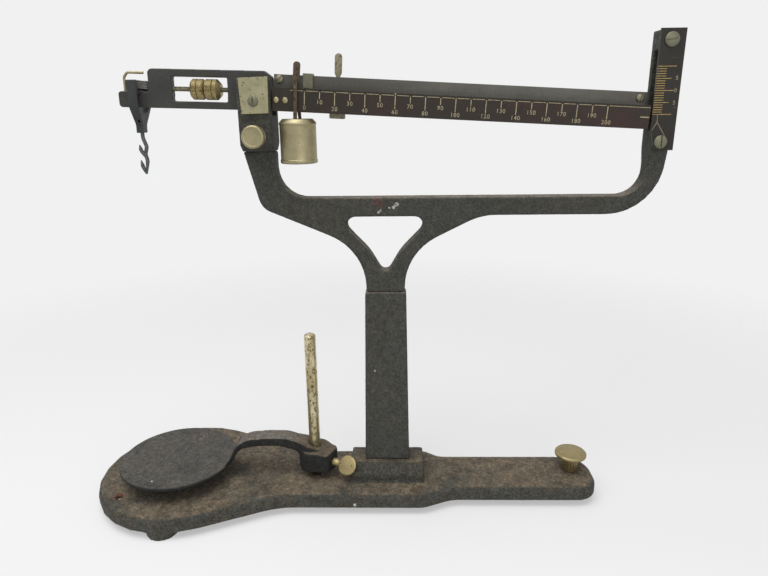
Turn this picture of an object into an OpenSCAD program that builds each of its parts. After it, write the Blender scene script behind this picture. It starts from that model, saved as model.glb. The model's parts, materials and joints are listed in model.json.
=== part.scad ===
// Single-pan hanging balance with a graduated beam, a Y-shaped stand and a sliding platform.
// +Z is up, +X runs along the beam towards the reading scale, -Y is the side that is read.

/* [Stand] */
// Overall length along the beam
overall_w = 391.5; // [385:0.5:405]
// Radius of the round lobe of the base
lobe_r = 62; // [60:0.5:66]
// Height of the underside of the base above the table
foot_h = 5; // [4:0.5:7]
// Height of the base casting
base_h = 11; // [10:0.5:14]
// Width of the narrow bar of the base
bar_w = 43; // [40:1:48]
// Height of the raised seat under the column
seat_h = 14; // [12:0.5:16]
// Top of the column above the table
column_top = 157; // [150:1:165]
// Width of the column at its foot
column_w = 32; // [28:1:34]
// Thickness of the yoke casting
yoke_t = 12; // [10:1:14]

/* [Beam] */
// Height of the main knife edge above the table
pivot_z = 284.5; // [282:0.5:287]
// How far the right end of the beam droops at rest, in degrees
beam_droop = 3.3; // [2.5:0.1:3.4]
// Distance from the main knife edge to the hanger knife edge
hanger_arm = 75.3; // [74:0.1:76]
// Distance between the graduations of the front beam
grad_pitch = 9.2; // [9:0.1:9.6]
// Number of steps on the front beam
grad_count = 20; // [10:1:20]
// Thickness of the beam casting
casting_t = 6; // [5:0.5:8]

/* [Poises] */
// Diameter of the large poise
poise_d = 23.2; // [18:0.1:24]
// Height of the large poise
poise_h = 26.8; // [20:0.1:30]

/* [Platform] */
// Radius of the platform disc
disc_r = 41.3; // [36:0.1:44]
// Height of the disc's top face above the table
disc_z = 29.5; // [28:0.5:34]
// Diameter of the platform rod
rod_d = 8; // [7:0.5:9]
// Top of the rod above the table
rod_top = 125; // [110:1:140]

/* [Hidden] */
$fn = 64;

// Places that the pieces share
lobe_x = -overall_w / 2 + lobe_r;
base_top = foot_h + base_h;
seat_top = base_top + seat_h;
line_y = -4;
plate_right = 177.6;
plate_screw_x = 169.4;
column_x = overall_w / 2 - plate_right;
base_right = column_x + 151.6;
screw_x = column_x + 135.6;
screw_y = line_y + 3;
rod_x = column_x - 53.5;
lug_r = 11;
lug_y = lobe_r - lug_r + 1;
wall = 4;
plate_t = 4;

// Running fit on a radius, and the gap between pieces that pass each other
fit = 0.05;
gap = 0.3;

// Yoke, measured from the column's centre line
stem_w = 26;
bar_z0 = 208.4;
bar_z1 = 220.5;
arm_l0 = -89;
arm_l1 = -68.7;
arm_r0 = 164.8;
arm_r1 = 176;
arm_top = 318.5;
fork_z = 250;
pivot_dx = -78;

// Fork that carries the main bearings
fork_t = 24;
fork_gap = 14;
fork_top = 9;
cover_t = 1.5;

// Beam, in level coordinates about the main knife edge
nut_d = 12.4;
front_y = [-9, -7];
top_y = [-2.5, 0.5];
rear_y = [6, 8];
plate_z = [-9.4, 4.5];
top_z = [4.3, 12.3];
beam_x0 = 10.6;
beam_x1 = 239.9;
zero_x = 30;
tang_x1 = 19.9;
block_x0 = 228;
rivet_x = [12.6, 18.2];
poise_x = 24.5;
pin_r = 0.6;
poise_y = -8;
poise_top = -18.5;
rider_x = 31.2;
rear_poise_x = 48.7;
rivet_z = -2.9;
cap_screw = [13.6, 9.4];

// Beam casting, in its own frame: it rises to the right of the beams by this angle
cast_turn = 1.4;
casting_right = 9.4;
casting_left = -67.8;
casting_top = 13.75;
casting_low = -9.6;
tongue_left = -86.8;
tongue_top = 0.1;
nut_z = 2.1;
window = [-53.1, -18.6, -5.2, 9.3];
keeper_x = -83.3;
keeper_r = 0.8;
hook_r = 1.2;

// Hanger, measured from its knife edge
hanger_z = 1;
hanger_t = 2;
hanger_y = 10;
hook_x = -0.7;

// Direction of a vector, and the vector a quarter turn to its left
function unit(v) = v / norm(v);
function left(v) = [-v[1], v[0]];
function turn(a, b) = atan2(a[0] * b[1] - a[1] * b[0], a * b);

// One rounded corner of an outline: c is [x, y, radius], d moves both of its sides inwards
function corner_arc(before, c, after, d, steps) =
    let (
        p = [c[0], c[1]],
        a = unit(p - [before[0], before[1]]),
        b = unit([after[0], after[1]] - p),
        bend = turn(a, b),
        side = bend > 0 ? 1 : -1,
        middle = (left(a) + left(b)) / (1 + left(a) * left(b)),
        r = max(c[2] - side * d, 0.02),
        centre = p + middle * (d + side * r),
        start = atan2(-side * left(a)[1], -side * left(a)[0])
    )
    [for (k = [0 : steps]) centre + r * [cos(start + bend * k / steps), sin(start + bend * k / steps)]];

// A closed outline through rounded corners, listed anticlockwise
function outline(corners, d = 0, steps = 8) =
    let (n = len(corners))
    [for (i = [0 : n - 1])
        each corner_arc(corners[(i + n - 1) % n], corners[i], corners[(i + 1) % n], d, steps)];

// A ring about an outline: taken from a slab, it leaves the upper edge round to this radius
module edge_round(corners, top, radius, bends = 4, steps = 8) {
    arc = [for (i = [0 : bends])
        let (a = 90 * i / bends)
        [radius * (1 - sin(a)), top - radius * (1 - cos(a))]];
    above = arc[0] + 0.2 * (arc[0] - arc[1]);
    beside = arc[bends] + 0.2 * (arc[bends] - arc[bends - 1]);
    section = concat(
        [[-1, beside[1]], [-1, top + 1], [above[0], top + 1], above],
        [for (i = [1 : bends - 1]) arc[i]],
        [beside]
    );
    n = len(section);
    m = len(outline(corners, 0, steps));
    polyhedron(
        points = [for (s = section) for (p = outline(corners, s[0], steps)) [p[0], p[1], s[1]]],
        faces = [for (j = [0 : n - 1]) for (i = [0 : m - 1])
            let (k = (i + 1) % m, up = (j + 1) % n)
            [j * m + i, up * m + i, up * m + k, j * m + k]]
    );
}

// Stands what is drawn in X and Y upright, from y0 to y1
module upright(y0, y1) {
    translate([0, y1, 0])
        rotate([90, 0, 0])
            linear_extrude(y1 - y0)
                children();
}

// Turns a side view, drawn as Y and Z, into a bar from x0 to x1
module sideways(x0, x1) {
    translate([x0, 0, 0])
        rotate([90, 0, 90])
            linear_extrude(x1 - x0)
                children();
}

module box(x, y, z) {
    translate([x[0], y[0], z[0]])
        cube([x[1] - x[0], y[1] - y[0], z[1] - z[0]]);
}

// Points of a path with its corners cut to short bends
function bent(path, cut) =
    [for (i = [0 : len(path) - 1])
        each (i == 0 || i == len(path) - 1) ? [path[i]] :
            let (
                a = path[i] + cut * unit(path[i - 1] - path[i]),
                b = path[i] + cut * unit(path[i + 1] - path[i])
            )
            [a, 0.25 * a + 0.5 * path[i] + 0.25 * b, b]];

// Direction of a path at one of its points
function heading(path, i) = unit(path[min(i + 1, len(path) - 1)] - path[max(i - 1, 0)]);

// Carries a sideways vector along the path without twisting it
function carried(path, i, u) =
    let (t = heading(path, i), v = unit(u - (u * t) * t))
    i == len(path) - 1 ? [v] : concat([v], carried(path, i + 1, v));

// A round wire along a path; u is any vector across its start
module wire(path, r, u = [0, 1, 0], sides = 12) {
    across = carried(path, 0, u);
    n = len(path);
    polyhedron(
        points = [for (i = [0 : n - 1]) for (k = [0 : sides - 1])
            let (v = across[i], w = cross(heading(path, i), v), a = 360 * k / sides)
            path[i] + r * (cos(a) * v + sin(a) * w)],
        faces = concat(
            [[for (k = [0 : sides - 1]) k]],
            [for (i = [0 : n - 2]) for (k = [0 : sides - 1])
                let (m = (k + 1) % sides)
                [i * sides + k, (i + 1) * sides + k, (i + 1) * sides + m, i * sides + m]],
            [[for (k = [sides - 1 : -1 : 0]) (n - 1) * sides + k]]
        )
    );
}

// A cylinder along Y, from y0 to y1
module pin_y(x, z, r, y0, y1) {
    translate([x, y1, z])
        rotate([90, 0, 0])
            cylinder(r = r, h = y1 - y0);
}

// A slotted round head with its shank, the head's top facing -Y at the origin
module slotted_screw(head_r, head_h, shank_r, shank_l, slot_turn = 0) {
    difference() {
        union() {
            rotate([-90, 0, 0])
                rotate_extrude()
                    polygon([
                        [0, 0], [head_r * 0.55, 0.1 * head_h], [head_r * 0.9, 0.4 * head_h],
                        [head_r, 0.7 * head_h], [head_r, head_h], [0, head_h]
                    ]);
            pin_y(0, 0, shank_r, head_h, head_h + shank_l);
        }
        rotate([0, slot_turn, 0])
            box([-head_r * 0.11, head_r * 0.11], [-1, head_h * 0.55], [-head_r * 1.2, head_r * 1.2]);
    }
}

// Everything on the stand is placed from the column's centre line
module on_stand() {
    translate([column_x, line_y, 0])
        children();
}

// Everything on the beam is drawn level about the main knife edge and then drooped
module on_beam() {
    translate([column_x + pivot_dx, line_y, pivot_z])
        rotate([0, beam_droop, 0])
            children();
}

module on_casting() {
    on_beam()
        rotate([0, -cast_turn, 0])
            children();
}

// The hanger hangs plumb from its knife edge
module on_hanger() {
    translate([
        column_x + pivot_dx - hanger_arm * cos(beam_droop) + hanger_z * sin(beam_droop),
        line_y,
        pivot_z + hanger_arm * sin(beam_droop) + hanger_z * cos(beam_droop)
    ])
        children();
}

// The large poise hangs plumb from its pin, which rests on the front beam's top edge
module on_poise() {
    z = plate_z[1] + pin_r + 0.03;
    translate([
        column_x + pivot_dx + poise_x * cos(beam_droop) + z * sin(beam_droop),
        line_y,
        pivot_z - poise_x * sin(beam_droop) + z * cos(beam_droop)
    ])
        children();
}

// The neck of the base runs at this angle from the lobe to the middle
neck = 23.8;
neck_reach = lobe_x * sin(neck) + lobe_r;
function neck_x(y) = (neck_reach - abs(y) * cos(neck)) / sin(neck);
function lobe_corner_y() = (neck_reach + (overall_w / 2) * sin(neck)) / cos(neck);

middle_front = line_y - 30.5;
middle_rear = line_y + 29.5;
bar_front = line_y - bar_w / 2;
bar_rear = line_y + bar_w / 2;

BASE = [
    [base_right, bar_front, 16], [base_right, bar_rear, 18],
    [column_x + 40, bar_rear, 12], [column_x + 29, middle_rear, 12],
    [neck_x(middle_rear), middle_rear, 60],
    [-overall_w / 2, lobe_corner_y(), lobe_r - 0.5],
    [-overall_w / 2, -lobe_corner_y(), lobe_r - 0.5],
    [neck_x(middle_front), middle_front, 60],
    [column_x + 26, middle_front, 14], [column_x + 46, bar_front, 25]
];

SEAT_SIDE = [[-15.5, base_top - 1], [15.5, base_top - 1], [15.5, base_top + 6.3], [10, seat_top],
    [-10, seat_top], [-15.5, base_top + 6.3]];
seat_w = 52.6;

// Cast base: a shallow upturned tray with a seat for the column, bosses and two foot lugs
module base() {
    hole_x = lobe_x - 36.5;
    hole_y = -36;
    color("#3b362f") difference() {
        union() {
            difference() {
                translate([0, 0, foot_h])
                    linear_extrude(base_h)
                        polygon(outline(BASE));
                edge_round(BASE, base_top, 4);
                translate([0, 0, foot_h - 1])
                    linear_extrude(base_h - plate_t + 1)
                        polygon(outline(BASE, wall));
            }
            on_stand()
                intersection() {
                    sideways(-seat_w / 2, seat_w / 2)
                        polygon(SEAT_SIDE);
                    linear_extrude(seat_top + 1)
                        polygon(outline([
                            [-seat_w / 2, -20, 5], [seat_w / 2, -20, 0.5],
                            [seat_w / 2, 20, 0.5], [-seat_w / 2, 20, 5]
                        ]));
                }
            for (s = [-1, 1]) {
                translate([lobe_x - 1, s * lug_y, 0])
                    cylinder(r = lug_r, h = foot_h + 1);
                translate([lobe_x - 1, s * (lug_y - 3), 0])
                    cylinder(r = lug_r - 2.5, h = base_top - plate_t + 0.5);
            }
            translate([rod_x, line_y, foot_h + 1])
                cylinder(r = 9, h = base_h - plate_t);
            translate([screw_x, screw_y, foot_h + 4.4])
                cylinder(r = 9, h = base_h - plate_t - 3);
            translate([column_x, line_y, foot_h + 3])
                cylinder(r = 12, h = base_h - plate_t);
        }
        translate([rod_x, line_y, foot_h + 2])
            cylinder(r = rod_d / 2 + fit, h = base_h);
        translate([screw_x, screw_y, foot_h])
            cylinder(r = 4 + fit, h = base_h + 1);
        translate([column_x, line_y, foot_h])
            cylinder(r = 4, h = seat_top);
        translate([hole_x, hole_y, foot_h])
            cylinder(r = 2.2, h = base_h + 1);
        translate([hole_x, hole_y, base_top - 1.2])
            cylinder(r1 = 2.2, r2 = 3.6, h = 1.4);
    }
}

// Flat tapered column standing on the seat, with a socket for the yoke's stem
module column() {
    color("#30322d") on_stand() difference() {
        intersection() {
            upright(-7, 7)
                polygon([
                    [-column_w / 2, seat_top], [column_w / 2, seat_top],
                    [13.9, column_top - 1.2], [13, column_top],
                    [-13, column_top], [-13.9, column_top - 1.2]
                ]);
            sideways(-column_w, column_w)
                polygon([
                    [-6.9, seat_top], [6.9, seat_top], [6.7, column_top - 0.8],
                    [6.1, column_top], [-6.1, column_top], [-6.7, column_top - 0.8]
                ]);
        }
        box([-11, 11], [-4, 4], [column_top - 26, column_top + 1]);
        translate([0, 0, seat_top - 1])
            cylinder(r = 4, h = 25);
        pin_y(0, column_top - 13, 2.5, -2, 8);
    }
}

// Bolt that holds the column down from under the base
module column_bolt() {
    color("#4a4a48") translate([column_x, line_y, 0]) {
        translate([0, 0, foot_h])
            cylinder(r = 6.5, h = 3);
        translate([0, 0, foot_h + 3])
            cylinder(r = 3.9, h = seat_top - foot_h + 17);
    }
}

YOKE = [
    [-11, column_top, 0.5], [11, column_top, 0.5], [stem_w / 2, column_top + 0.8, 0.5],
    [stem_w / 2, 183.8, 38], [62.3, bar_z0, 40], [arm_r1, bar_z0, 34],
    [arm_r1, arm_top, 1], [arm_r0, arm_top, 1], [arm_r0, bar_z1, 16],
    [arm_l1, bar_z1, 19], [arm_l1, fork_z, 0.5], [arm_l0, fork_z, 0.5], [-79.7, 213.8, 12],
    [-stem_w / 2, 185.8, 38], [-stem_w / 2, column_top + 0.8, 0.5]
];

// The window where the two branches of the yoke meet the stem
YOKE_WINDOW = [
    [0, 167.5, 4], [10, 185, 40], [32, 208, 5.5], [-32, 208, 5.5], [-10, 185, 40]
];

// Cast yoke: a stem, two branches, the cross bar and two upright arms
module yoke() {
    color("#33352f") on_stand() difference() {
        union() {
            upright(-yoke_t / 2, yoke_t / 2)
                polygon(outline(YOKE, 0, 8));
            sideways(arm_r0, arm_r1)
                polygon([
                    [-yoke_t / 2, 240], [yoke_t / 2, 240], [8, 248.6],
                    [8, arm_top], [-8, arm_top], [-8, 248.6]
                ]);
            box([-10.9, 10.9], [-3.9, 3.9], [column_top - 25.5, column_top + 2]);
            box([-84.5, -73], [-4, 4], [fork_z - 2, fork_z + 16]);
        }
        upright(-9, 9)
            polygon(outline(YOKE_WINDOW, 0, 8));
        box([arm_r0 - 1, 172.6], [-4, 4], [261, 307]);
        pin_y(0, column_top - 13, 2.5, -2, 8);
        pin_y(-78.8, 259.5, 2.5 + fit, -9, -1);
        for (z = [312.2, 253.7])
            pin_y(plate_screw_x, z, 1.75, -9, 0);
    }
}

// Dowel that keeps the yoke's stem in the column
module yoke_pin() {
    color("#4a4a48") on_stand()
        pin_y(0, column_top - 13, 2.45, -1.9, 6.6);
}

// Levelling screw: round head, step, fluted neck and shank
module levelling_screw() {
    head_r = 11.3;
    flutes = 18;
    color("#8c7c4c") translate([screw_x, screw_y, base_top]) {
        translate([0, 0, 11.2])
            rotate_extrude()
                polygon([
                    [0, 0], [head_r - 1, 0], [head_r, 0.8], [head_r, 2.4], [head_r - 0.8, 3.2],
                    [head_r - 2, 3.1], [5, 3.9], [0, 4]
                ]);
        translate([0, 0, 9.8])
            cylinder(r = 7.6, h = 1.5);
        difference() {
            translate([0, 0, 0.3])
                cylinder(r = 5.6, h = 9.6);
            for (i = [0 : flutes - 1])
                rotate([0, 0, 360 * i / flutes])
                    translate([5.9, 0, -1])
                        cylinder(r = 0.7, h = 10, $fn = 16);
        }
        translate([0, 0, 4.4 - base_top])
            cylinder(r = 4, h = base_top - 4);
        translate([0, 0, 2.2 - base_top])
            cylinder(r = 2, h = 3);
    }
}

// Round pad that the levelling screw turns in
module levelling_foot() {
    color("#8c7c4c") translate([screw_x, screw_y, 0])
        difference() {
            rotate_extrude()
                polygon([[0, 0], [7.2, 0], [8, 0.8], [8, 2.6], [6.4, 4.2], [0, 4.2]]);
            translate([0, 0, 2])
                cylinder(r = 2 + fit, h = 4);
        }
}

// Plain rod standing in the base
module rod() {
    color("#b3a67a") translate([rod_x, line_y, foot_h + 2])
        rotate_extrude()
            polygon([
                [0, 0], [rod_d / 2, 0], [rod_d / 2, rod_top - foot_h - 3],
                [rod_d / 2 - 1, rod_top - foot_h - 2], [0, rod_top - foot_h - 2]
            ]);
}

hub_r = 11.9;
hub_z = [21.3, 36.5];
clamp_az = -27;
clamp_z = 28.2;
leaf_tilt = 52;
disc_x = rod_x - 101.7;
disc_y = line_y - 1.5;
arm_w = 13.4;

// Side view of the arm's crown, from the disc to the hub, as X from the rod and Z
ARM_SIDE = [
    [-68, disc_z - 4, 0.5], [-63, disc_z - 2, 6], [-54, 37.6, 8], [-44, 39.8, 12], [-26, 40.4, 12],
    [-14, 37, 8], [-8, 31, 4], [8, 31, 0.5], [8, hub_z[1] + 0.4, 0.5], [2, 38.4, 6], [-8, 42.3, 10],
    [-20, 46.4, 14], [-34, 46.6, 20], [-48, 45.4, 14], [-57, 41, 10], [-62, disc_z, 8],
    [-74, disc_z, 0.5], [-74, disc_z - 4, 0.5]
];

// Plan of the arm: it flares into the disc and into the hub
ARM_PLAN = [
    [-74, -20, 1], [-66, -18, 8], [-57, -arm_w / 2, 16], [-12, -arm_w / 2, 8], [-4, -9, 1],
    [4, -8, 1], [8, -4, 1], [8, 4, 1], [4, 8, 1], [-4, 9, 1], [-12, arm_w / 2, 8], [-57, arm_w / 2, 16], [-66, 18, 8],
    [-74, 20, 1]
];

// Platform: a round disc on a crowned arm that slides on the rod
module platform() {
    color("#393a38") difference() {
        union() {
            translate([disc_x, disc_y, disc_z - 4])
                rotate_extrude($fn = 96)
                    polygon([
                        [0, 0], [disc_r - 1.5, 0], [disc_r, 1.5], [disc_r, 3.2],
                        [disc_r - 0.8, 4], [0, 4]
                    ]);
            translate([rod_x, line_y, 0]) {
                intersection() {
                    upright(-20, 20)
                        polygon(outline(ARM_SIDE, 0, 6));
                    translate([0, 0, 10])
                        linear_extrude(60)
                            polygon(outline(ARM_PLAN, 0, 6));
                }
                translate([0, 0, hub_z[0]])
                    cylinder(r = hub_r, h = hub_z[1] - hub_z[0]);
                rotate([0, 0, clamp_az])
                    translate([0, 0, hub_z[0] + 0.3])
                        linear_extrude(hub_z[1] - hub_z[0] - 0.6)
                            polygon([
                                [-3, 1 - hub_r], [14, -8.2], [15.5, -7], [15.5, 6.2], [13.4, 8.4],
                                [3, hub_r - 0.5], [-3, hub_r - 1]
                            ]);
            }
        }
        translate([rod_x, line_y, hub_z[0] - 1])
            cylinder(r = rod_d / 2 + fit, h = 30);
        translate([rod_x, line_y, clamp_z])
            rotate([0, 90, clamp_az])
                cylinder(r = 2 + fit, h = 20);
    }
}

// Spade thumb screw that clamps the platform to the rod
module platform_screw() {
    leaf_r = 7.2;
    leaf_at = 27.6;
    color("#8f8258") translate([rod_x, line_y, clamp_z])
        rotate([0, 0, clamp_az]) {
            rotate([0, 90, 0])
                translate([0, 0, rod_d / 2 + gap])
                    cylinder(r = 2, h = leaf_at - leaf_r - 3);
            translate([16, 0, 0])
                rotate([0, 90, 0])
                    cylinder(r1 = 3.2, r2 = 2.4, h = 5);
            rotate([leaf_tilt, 0, 0])
                translate([leaf_at, 0, -1.2])
                    rotate_extrude()
                        polygon([
                            [0, 0], [leaf_r - 0.6, 0], [leaf_r, 0.6], [leaf_r, 1.8],
                            [leaf_r - 0.6, 2.4], [0, 2.4]
                        ]);
        }
}

// Forked bracket on the yoke's left arm: two cheeks with round bearing seats
module fulcrum_fork() {
    color("#2d302d") on_stand() difference() {
        sideways(arm_l0, arm_l1)
            polygon([
                [-yoke_t / 2, fork_z], [yoke_t / 2, fork_z], [fork_t / 2, fork_z + 4],
                [fork_t / 2, pivot_z + fork_top], [-fork_t / 2, pivot_z + fork_top],
                [-fork_t / 2, fork_z + 4]
            ]);
        box([-100, -60], [-fork_gap / 2, fork_gap / 2], [pivot_z - 13, pivot_z + 20]);
        box([-84.6, -72.9], [-4.1, 4.1], [fork_z - 1, fork_z + 16.2]);
        pin_y(pivot_dx, pivot_z, 6.5, -fork_t, fork_t);
        pin_y(-78.8, 259.5, 2.5 + fit, -fork_t, 0);
    }
}

// Round-headed screw that clamps the fork on the yoke's arm
module fork_screw() {
    color("#9b9478") on_stand() translate([-78.8, 0, 259.5]) {
        translate([0, -22, 0])
            rotate([-90, 0, 0])
                rotate_extrude()
                    polygon([
                        [0, 0.3], [5.2, 0.2], [5.6, 0], [6.4, 0.2], [7, 0.9], [7, 4.6], [6.4, 5],
                        [4.5, 5], [4.5, 7.4], [6.6, 7.4], [6.6, 9.7], [2.5, 9.7], [2.5, 20.8], [0, 20.8]
                    ]);
    }
}

// The two main bearings: round plugs with a vee that the knife edge rests in
module pivot_bearings() {
    color("#6d6a66") on_stand()
        translate([pivot_dx, 0, pivot_z])
            for (y = [-fork_t / 2, fork_gap / 2])
                difference() {
                    pin_y(0, 0, 6.45, y, y + (fork_t - fork_gap) / 2);
                    upright(y - 1, y + 6)
                        polygon([[0, -0.03], [4, 3], [4, 5], [-4, 5], [-4, 3]]);
                    pin_y(-0.8, -4.4, 1.6, y - 1, y + 6);
                }
}

// Thin plates that close the bearing seats, front and rear
module bearing_covers() {
    color("#99977c") on_stand()
        translate([pivot_dx, 0, pivot_z])
            for (y = [-fork_t / 2 - cover_t, fork_t / 2])
                difference() {
                    upright(y, y + cover_t)
                        polygon([[-8.3, -11.8], [8.2, -11.4], [8.9, 9.8], [-9.2, 9.2]]);
                    pin_y(-0.8, -4.4, 1.6, y - 1, y + 3);
                }
}

// Slotted screws of the bearing covers
module cover_screws() {
    color("#8f8b74") on_stand() {
        translate([pivot_dx - 0.8, -fork_t / 2 - cover_t - 1.3, pivot_z - 4.4])
            slotted_screw(3.1, 1.3, 1.55, 5);
        translate([pivot_dx - 0.8, fork_t / 2 + cover_t + 1.3, pivot_z - 4.4])
            rotate([0, 0, 180])
                slotted_screw(3.1, 1.3, 1.55, 5);
    }
}

KNIFE = [[0, 0], [2.6, 4.5], [-2.6, 4.5]];

// Main knife edge, held in the beam casting
module pivot_knife() {
    color("#55565a") on_beam()
        upright(-11.6, 11.6)
            polygon(KNIFE);
}

CASTING = [
    [casting_right, casting_low, 1], [casting_right, casting_top - 3.4, 1],
    [casting_right - 4.8, casting_top, 1], [casting_left, casting_top, 3],
    [casting_left, tongue_top, 0.6], [tongue_left, tongue_top, 2], [tongue_left, casting_low, 2]
];

// Left half of the beam: cast block with a window for the balance nuts and a tongue
module beam_casting() {
    color("#25282a") difference() {
        union() {
            on_casting()
                upright(-casting_t / 2, casting_t / 2)
                    polygon(outline(CASTING, 0, 5));
            on_beam() {
                box([casting_right - 2, tang_x1], [0.4 - casting_t / 2, casting_t / 2 - 0.4], [-8.8, 3.6]);
                box([beam_x0, tang_x1], [front_y[1], rear_y[0]], [-9, 3.8]);
                box([beam_x0, tang_x1], [top_y[1], rear_y[0]], [-9, 11.5]);
            }
        }
        on_casting() {
            box([window[0], window[1]], [-9, 9], [window[2], window[3]]);
            translate([window[0] - 4, 0, nut_z])
                rotate([0, 90, 0])
                    cylinder(r = 1.55, h = window[1] - window[0] + 8);
        }
        on_beam() {
            upright(-9, 9)
                polygon(KNIFE);
            upright(-9, 9)
                translate([-hanger_arm, hanger_z])
                    rotate(180)
                        polygon(KNIFE);
            for (x = rivet_x)
                pin_y(x, rivet_z, 1.4, -9, 9);
            pin_y(cap_screw[0], cap_screw[1], 1.3, 0, 4);
            translate([keeper_x, 0, -6])
                cylinder(r = keeper_r + fit, h = 8);
        }
    }
}

// Threaded rod across the window
module balance_rod() {
    color("#77705c") on_casting()
        translate([window[0] - 4, 0, nut_z])
            rotate([0, 90, 0])
                cylinder(r = 1.5, h = window[1] - window[0] + 8);
}

// A knurled nut on the threaded rod, from x0 to x1, the ends turned down by in and out
module balance_nut(x0, x1, in_taper, out_taper) {
    grooves = 24;
    on_casting()
        translate([x0, 0, nut_z])
            rotate([0, 90, 0])
                difference() {
                    rotate_extrude()
                        polygon([
                            [1.5 + fit, 0], [nut_d / 2 - in_taper, 0], [nut_d / 2, in_taper],
                            [nut_d / 2, x1 - x0 - out_taper], [nut_d / 2 - out_taper, x1 - x0],
                            [1.5 + fit, x1 - x0]
                        ]);
                    for (i = [0 : grooves - 1])
                        rotate([0, 0, 360 * i / grooves])
                            translate([nut_d / 2 + 0.12, 0, -1])
                                cylinder(r = 0.4, h = 12, $fn = 13);
                }
}

module balance_nut_outer() {
    color("#a08a45") balance_nut(-41.4, -33.2, 1.2, 0.8);
}

module balance_nut_inner() {
    color("#a08a45") balance_nut(-32.8, -22.9, 0.8, 2.4);
}

// Top edge of a beam with a vee notch at each graduation
function notches(x0, pitch, count, z, w, depth) =
    [for (i = [count : -1 : 0])
        each [[x0 + i * pitch + w, z], [x0 + i * pitch, z - depth], [x0 + i * pitch - w, z]]];

// Front beam plate, notched for the large poise
module front_beam() {
    color("#2a2624") on_beam() difference() {
        upright(front_y[0], front_y[1])
            polygon(concat(
                [[beam_x0, plate_z[0]], [beam_x1, plate_z[0]], [beam_x1, plate_z[1]]],
                notches(zero_x, grad_pitch, grad_count, plate_z[1], 0.7, 1),
                notches(poise_x, 0, 0, plate_z[1], 0.9, 1),
                [[beam_x0, plate_z[1]]]
            ));
        for (x = concat(rivet_x, 233))
            pin_y(x, rivet_z, 1.4, -12, 0);
    }
}

// Thin graduated strip on the front beam
module scale_strip() {
    color("#3a2a26") on_beam()
        box([20.7, beam_x1], [front_y[0] - 0.4, front_y[0]], [plate_z[0] + 0.2, plate_z[1] - 1.1]);
}

// Bar that the small rider slides on
module top_bar() {
    color("#4c4b48") on_beam() difference() {
        upright(top_y[0], top_y[1])
            polygon([
                [beam_x0 - 0.4, top_z[0]], [beam_x1, top_z[0]],
                [beam_x1, top_z[1]], [beam_x0 - 0.4, top_z[1]]
            ]);
        for (p = [cap_screw, [235, 8.6]])
            pin_y(p[0], p[1], 1.3, -12, 2);
    }
}

// Rear beam plate, notched for the rear poise
module rear_beam() {
    color("#2a2826") on_beam() difference() {
        upright(rear_y[0], rear_y[1])
            polygon(concat(
                [[beam_x0, plate_z[0] + 1.4], [beam_x1, plate_z[0] + 1.4], [beam_x1, plate_z[1]]],
                notches(rear_poise_x, 4 * grad_pitch, 4, plate_z[1], 0.9, 1.2),
                [[beam_x0, plate_z[1]]]
            ));
        for (x = concat(rivet_x, 233))
            pin_y(x, rivet_z, 1.4, 0, 12);
    }
}

// Block that joins the beams at the right end; its nose moves in the slot of the stand
module end_block() {
    color("#2b2b2a") on_beam() difference() {
        union() {
            box([block_x0, beam_x1], [front_y[1], rear_y[0]], [-9, 3.8]);
            box([block_x0, beam_x1], [top_y[1], rear_y[0]], [-9, 11.5]);
            box([beam_x1 - 1, 247.5], [-3, 3], [-9.2, 3.7]);
            box([beam_x1, 247.5], [-3, 3], [3, 6.8]);
        }
        pin_y(233, rivet_z, 1.4, -9, 9);
        pin_y(235, 8.6, 1.3, -9, 5);
    }
}

// Rivets through the two beam plates, the casting's tang and the end block
module beam_rivets() {
    color("#b9bca4") on_beam()
        for (x = rivet_x) {
            pin_y(x, rivet_z, 1.35, -9, 8);
            translate([x, front_y[0], rivet_z])
                rotate([90, 0, 0])
                    rotate_extrude()
                        polygon([[0, 0], [1.9, 0], [1.7, 0.5], [1, 0.8], [0, 0.9]]);
        }
    color("#b9bca4") on_beam()
        pin_y(233, rivet_z, 1.35, -9, 8);
}

// Slotted screws of the top bar
module beam_screws() {
    color("#8d8a80") on_beam()
        for (s = [[cap_screw, 35, 4.5], [[235, 8.6], 20, 6]])
            translate([s[0][0], top_y[0] - 1.4, s[0][1]])
                slotted_screw(2.5, 1.4, 1.25, s[2], s[1]);
}

// Knife edge of the hanger, pointing up from the tongue
module hanger_knife() {
    color("#55565a") on_beam()
        upright(-7.7, 7.7)
            translate([-hanger_arm, hanger_z])
                rotate(180)
                    polygon(KNIFE);
}

HANGER = [
    [1.5, -27.8, 0.5], [1.8, -22, 4], [2.9, -12.3, 4], [2.9, 3.8, 0.5], [-2.9, 3.8, 0.5],
    [-2.9, -12.3, 4], [-2.8, -22, 4], [-3, -27.8, 0.5]
];

// Hanger: two cheeks that straddle the tongue and taper together into a small block
module hanger() {
    low = 3;
    color("#34373a") on_hanger() difference() {
        intersection() {
            upright(-hanger_y, hanger_y)
                polygon(outline(HANGER, 0, 5));
            sideways(-12, 12)
                difference() {
                    polygon(outline([
                        [-low, -27.8, 0.5], [low, -27.8, 0.5], [low, -23, 4], [hanger_y, -12.3, 4],
                        [hanger_y, 3.8, 0.5], [-hanger_y, 3.8, 0.5], [-hanger_y, -12.3, 4],
                        [-low, -23, 4]
                    ], 0, 5));
                    polygon(outline([
                        [-3, -15.5, 2], [3, -15.5, 2], [hanger_y - hanger_t, -12, 2],
                        [hanger_y - hanger_t, 5, 0.5], [hanger_t - hanger_y, 5, 0.5],
                        [hanger_t - hanger_y, -12, 2]
                    ], 0, 5));
                }
        }
        pin_y(0, -20.6, 0.8, -12, 0);
        translate([hook_x, 0, -28])
            cylinder(r = hook_r + fit, h = 6.2);
    }
}

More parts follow.
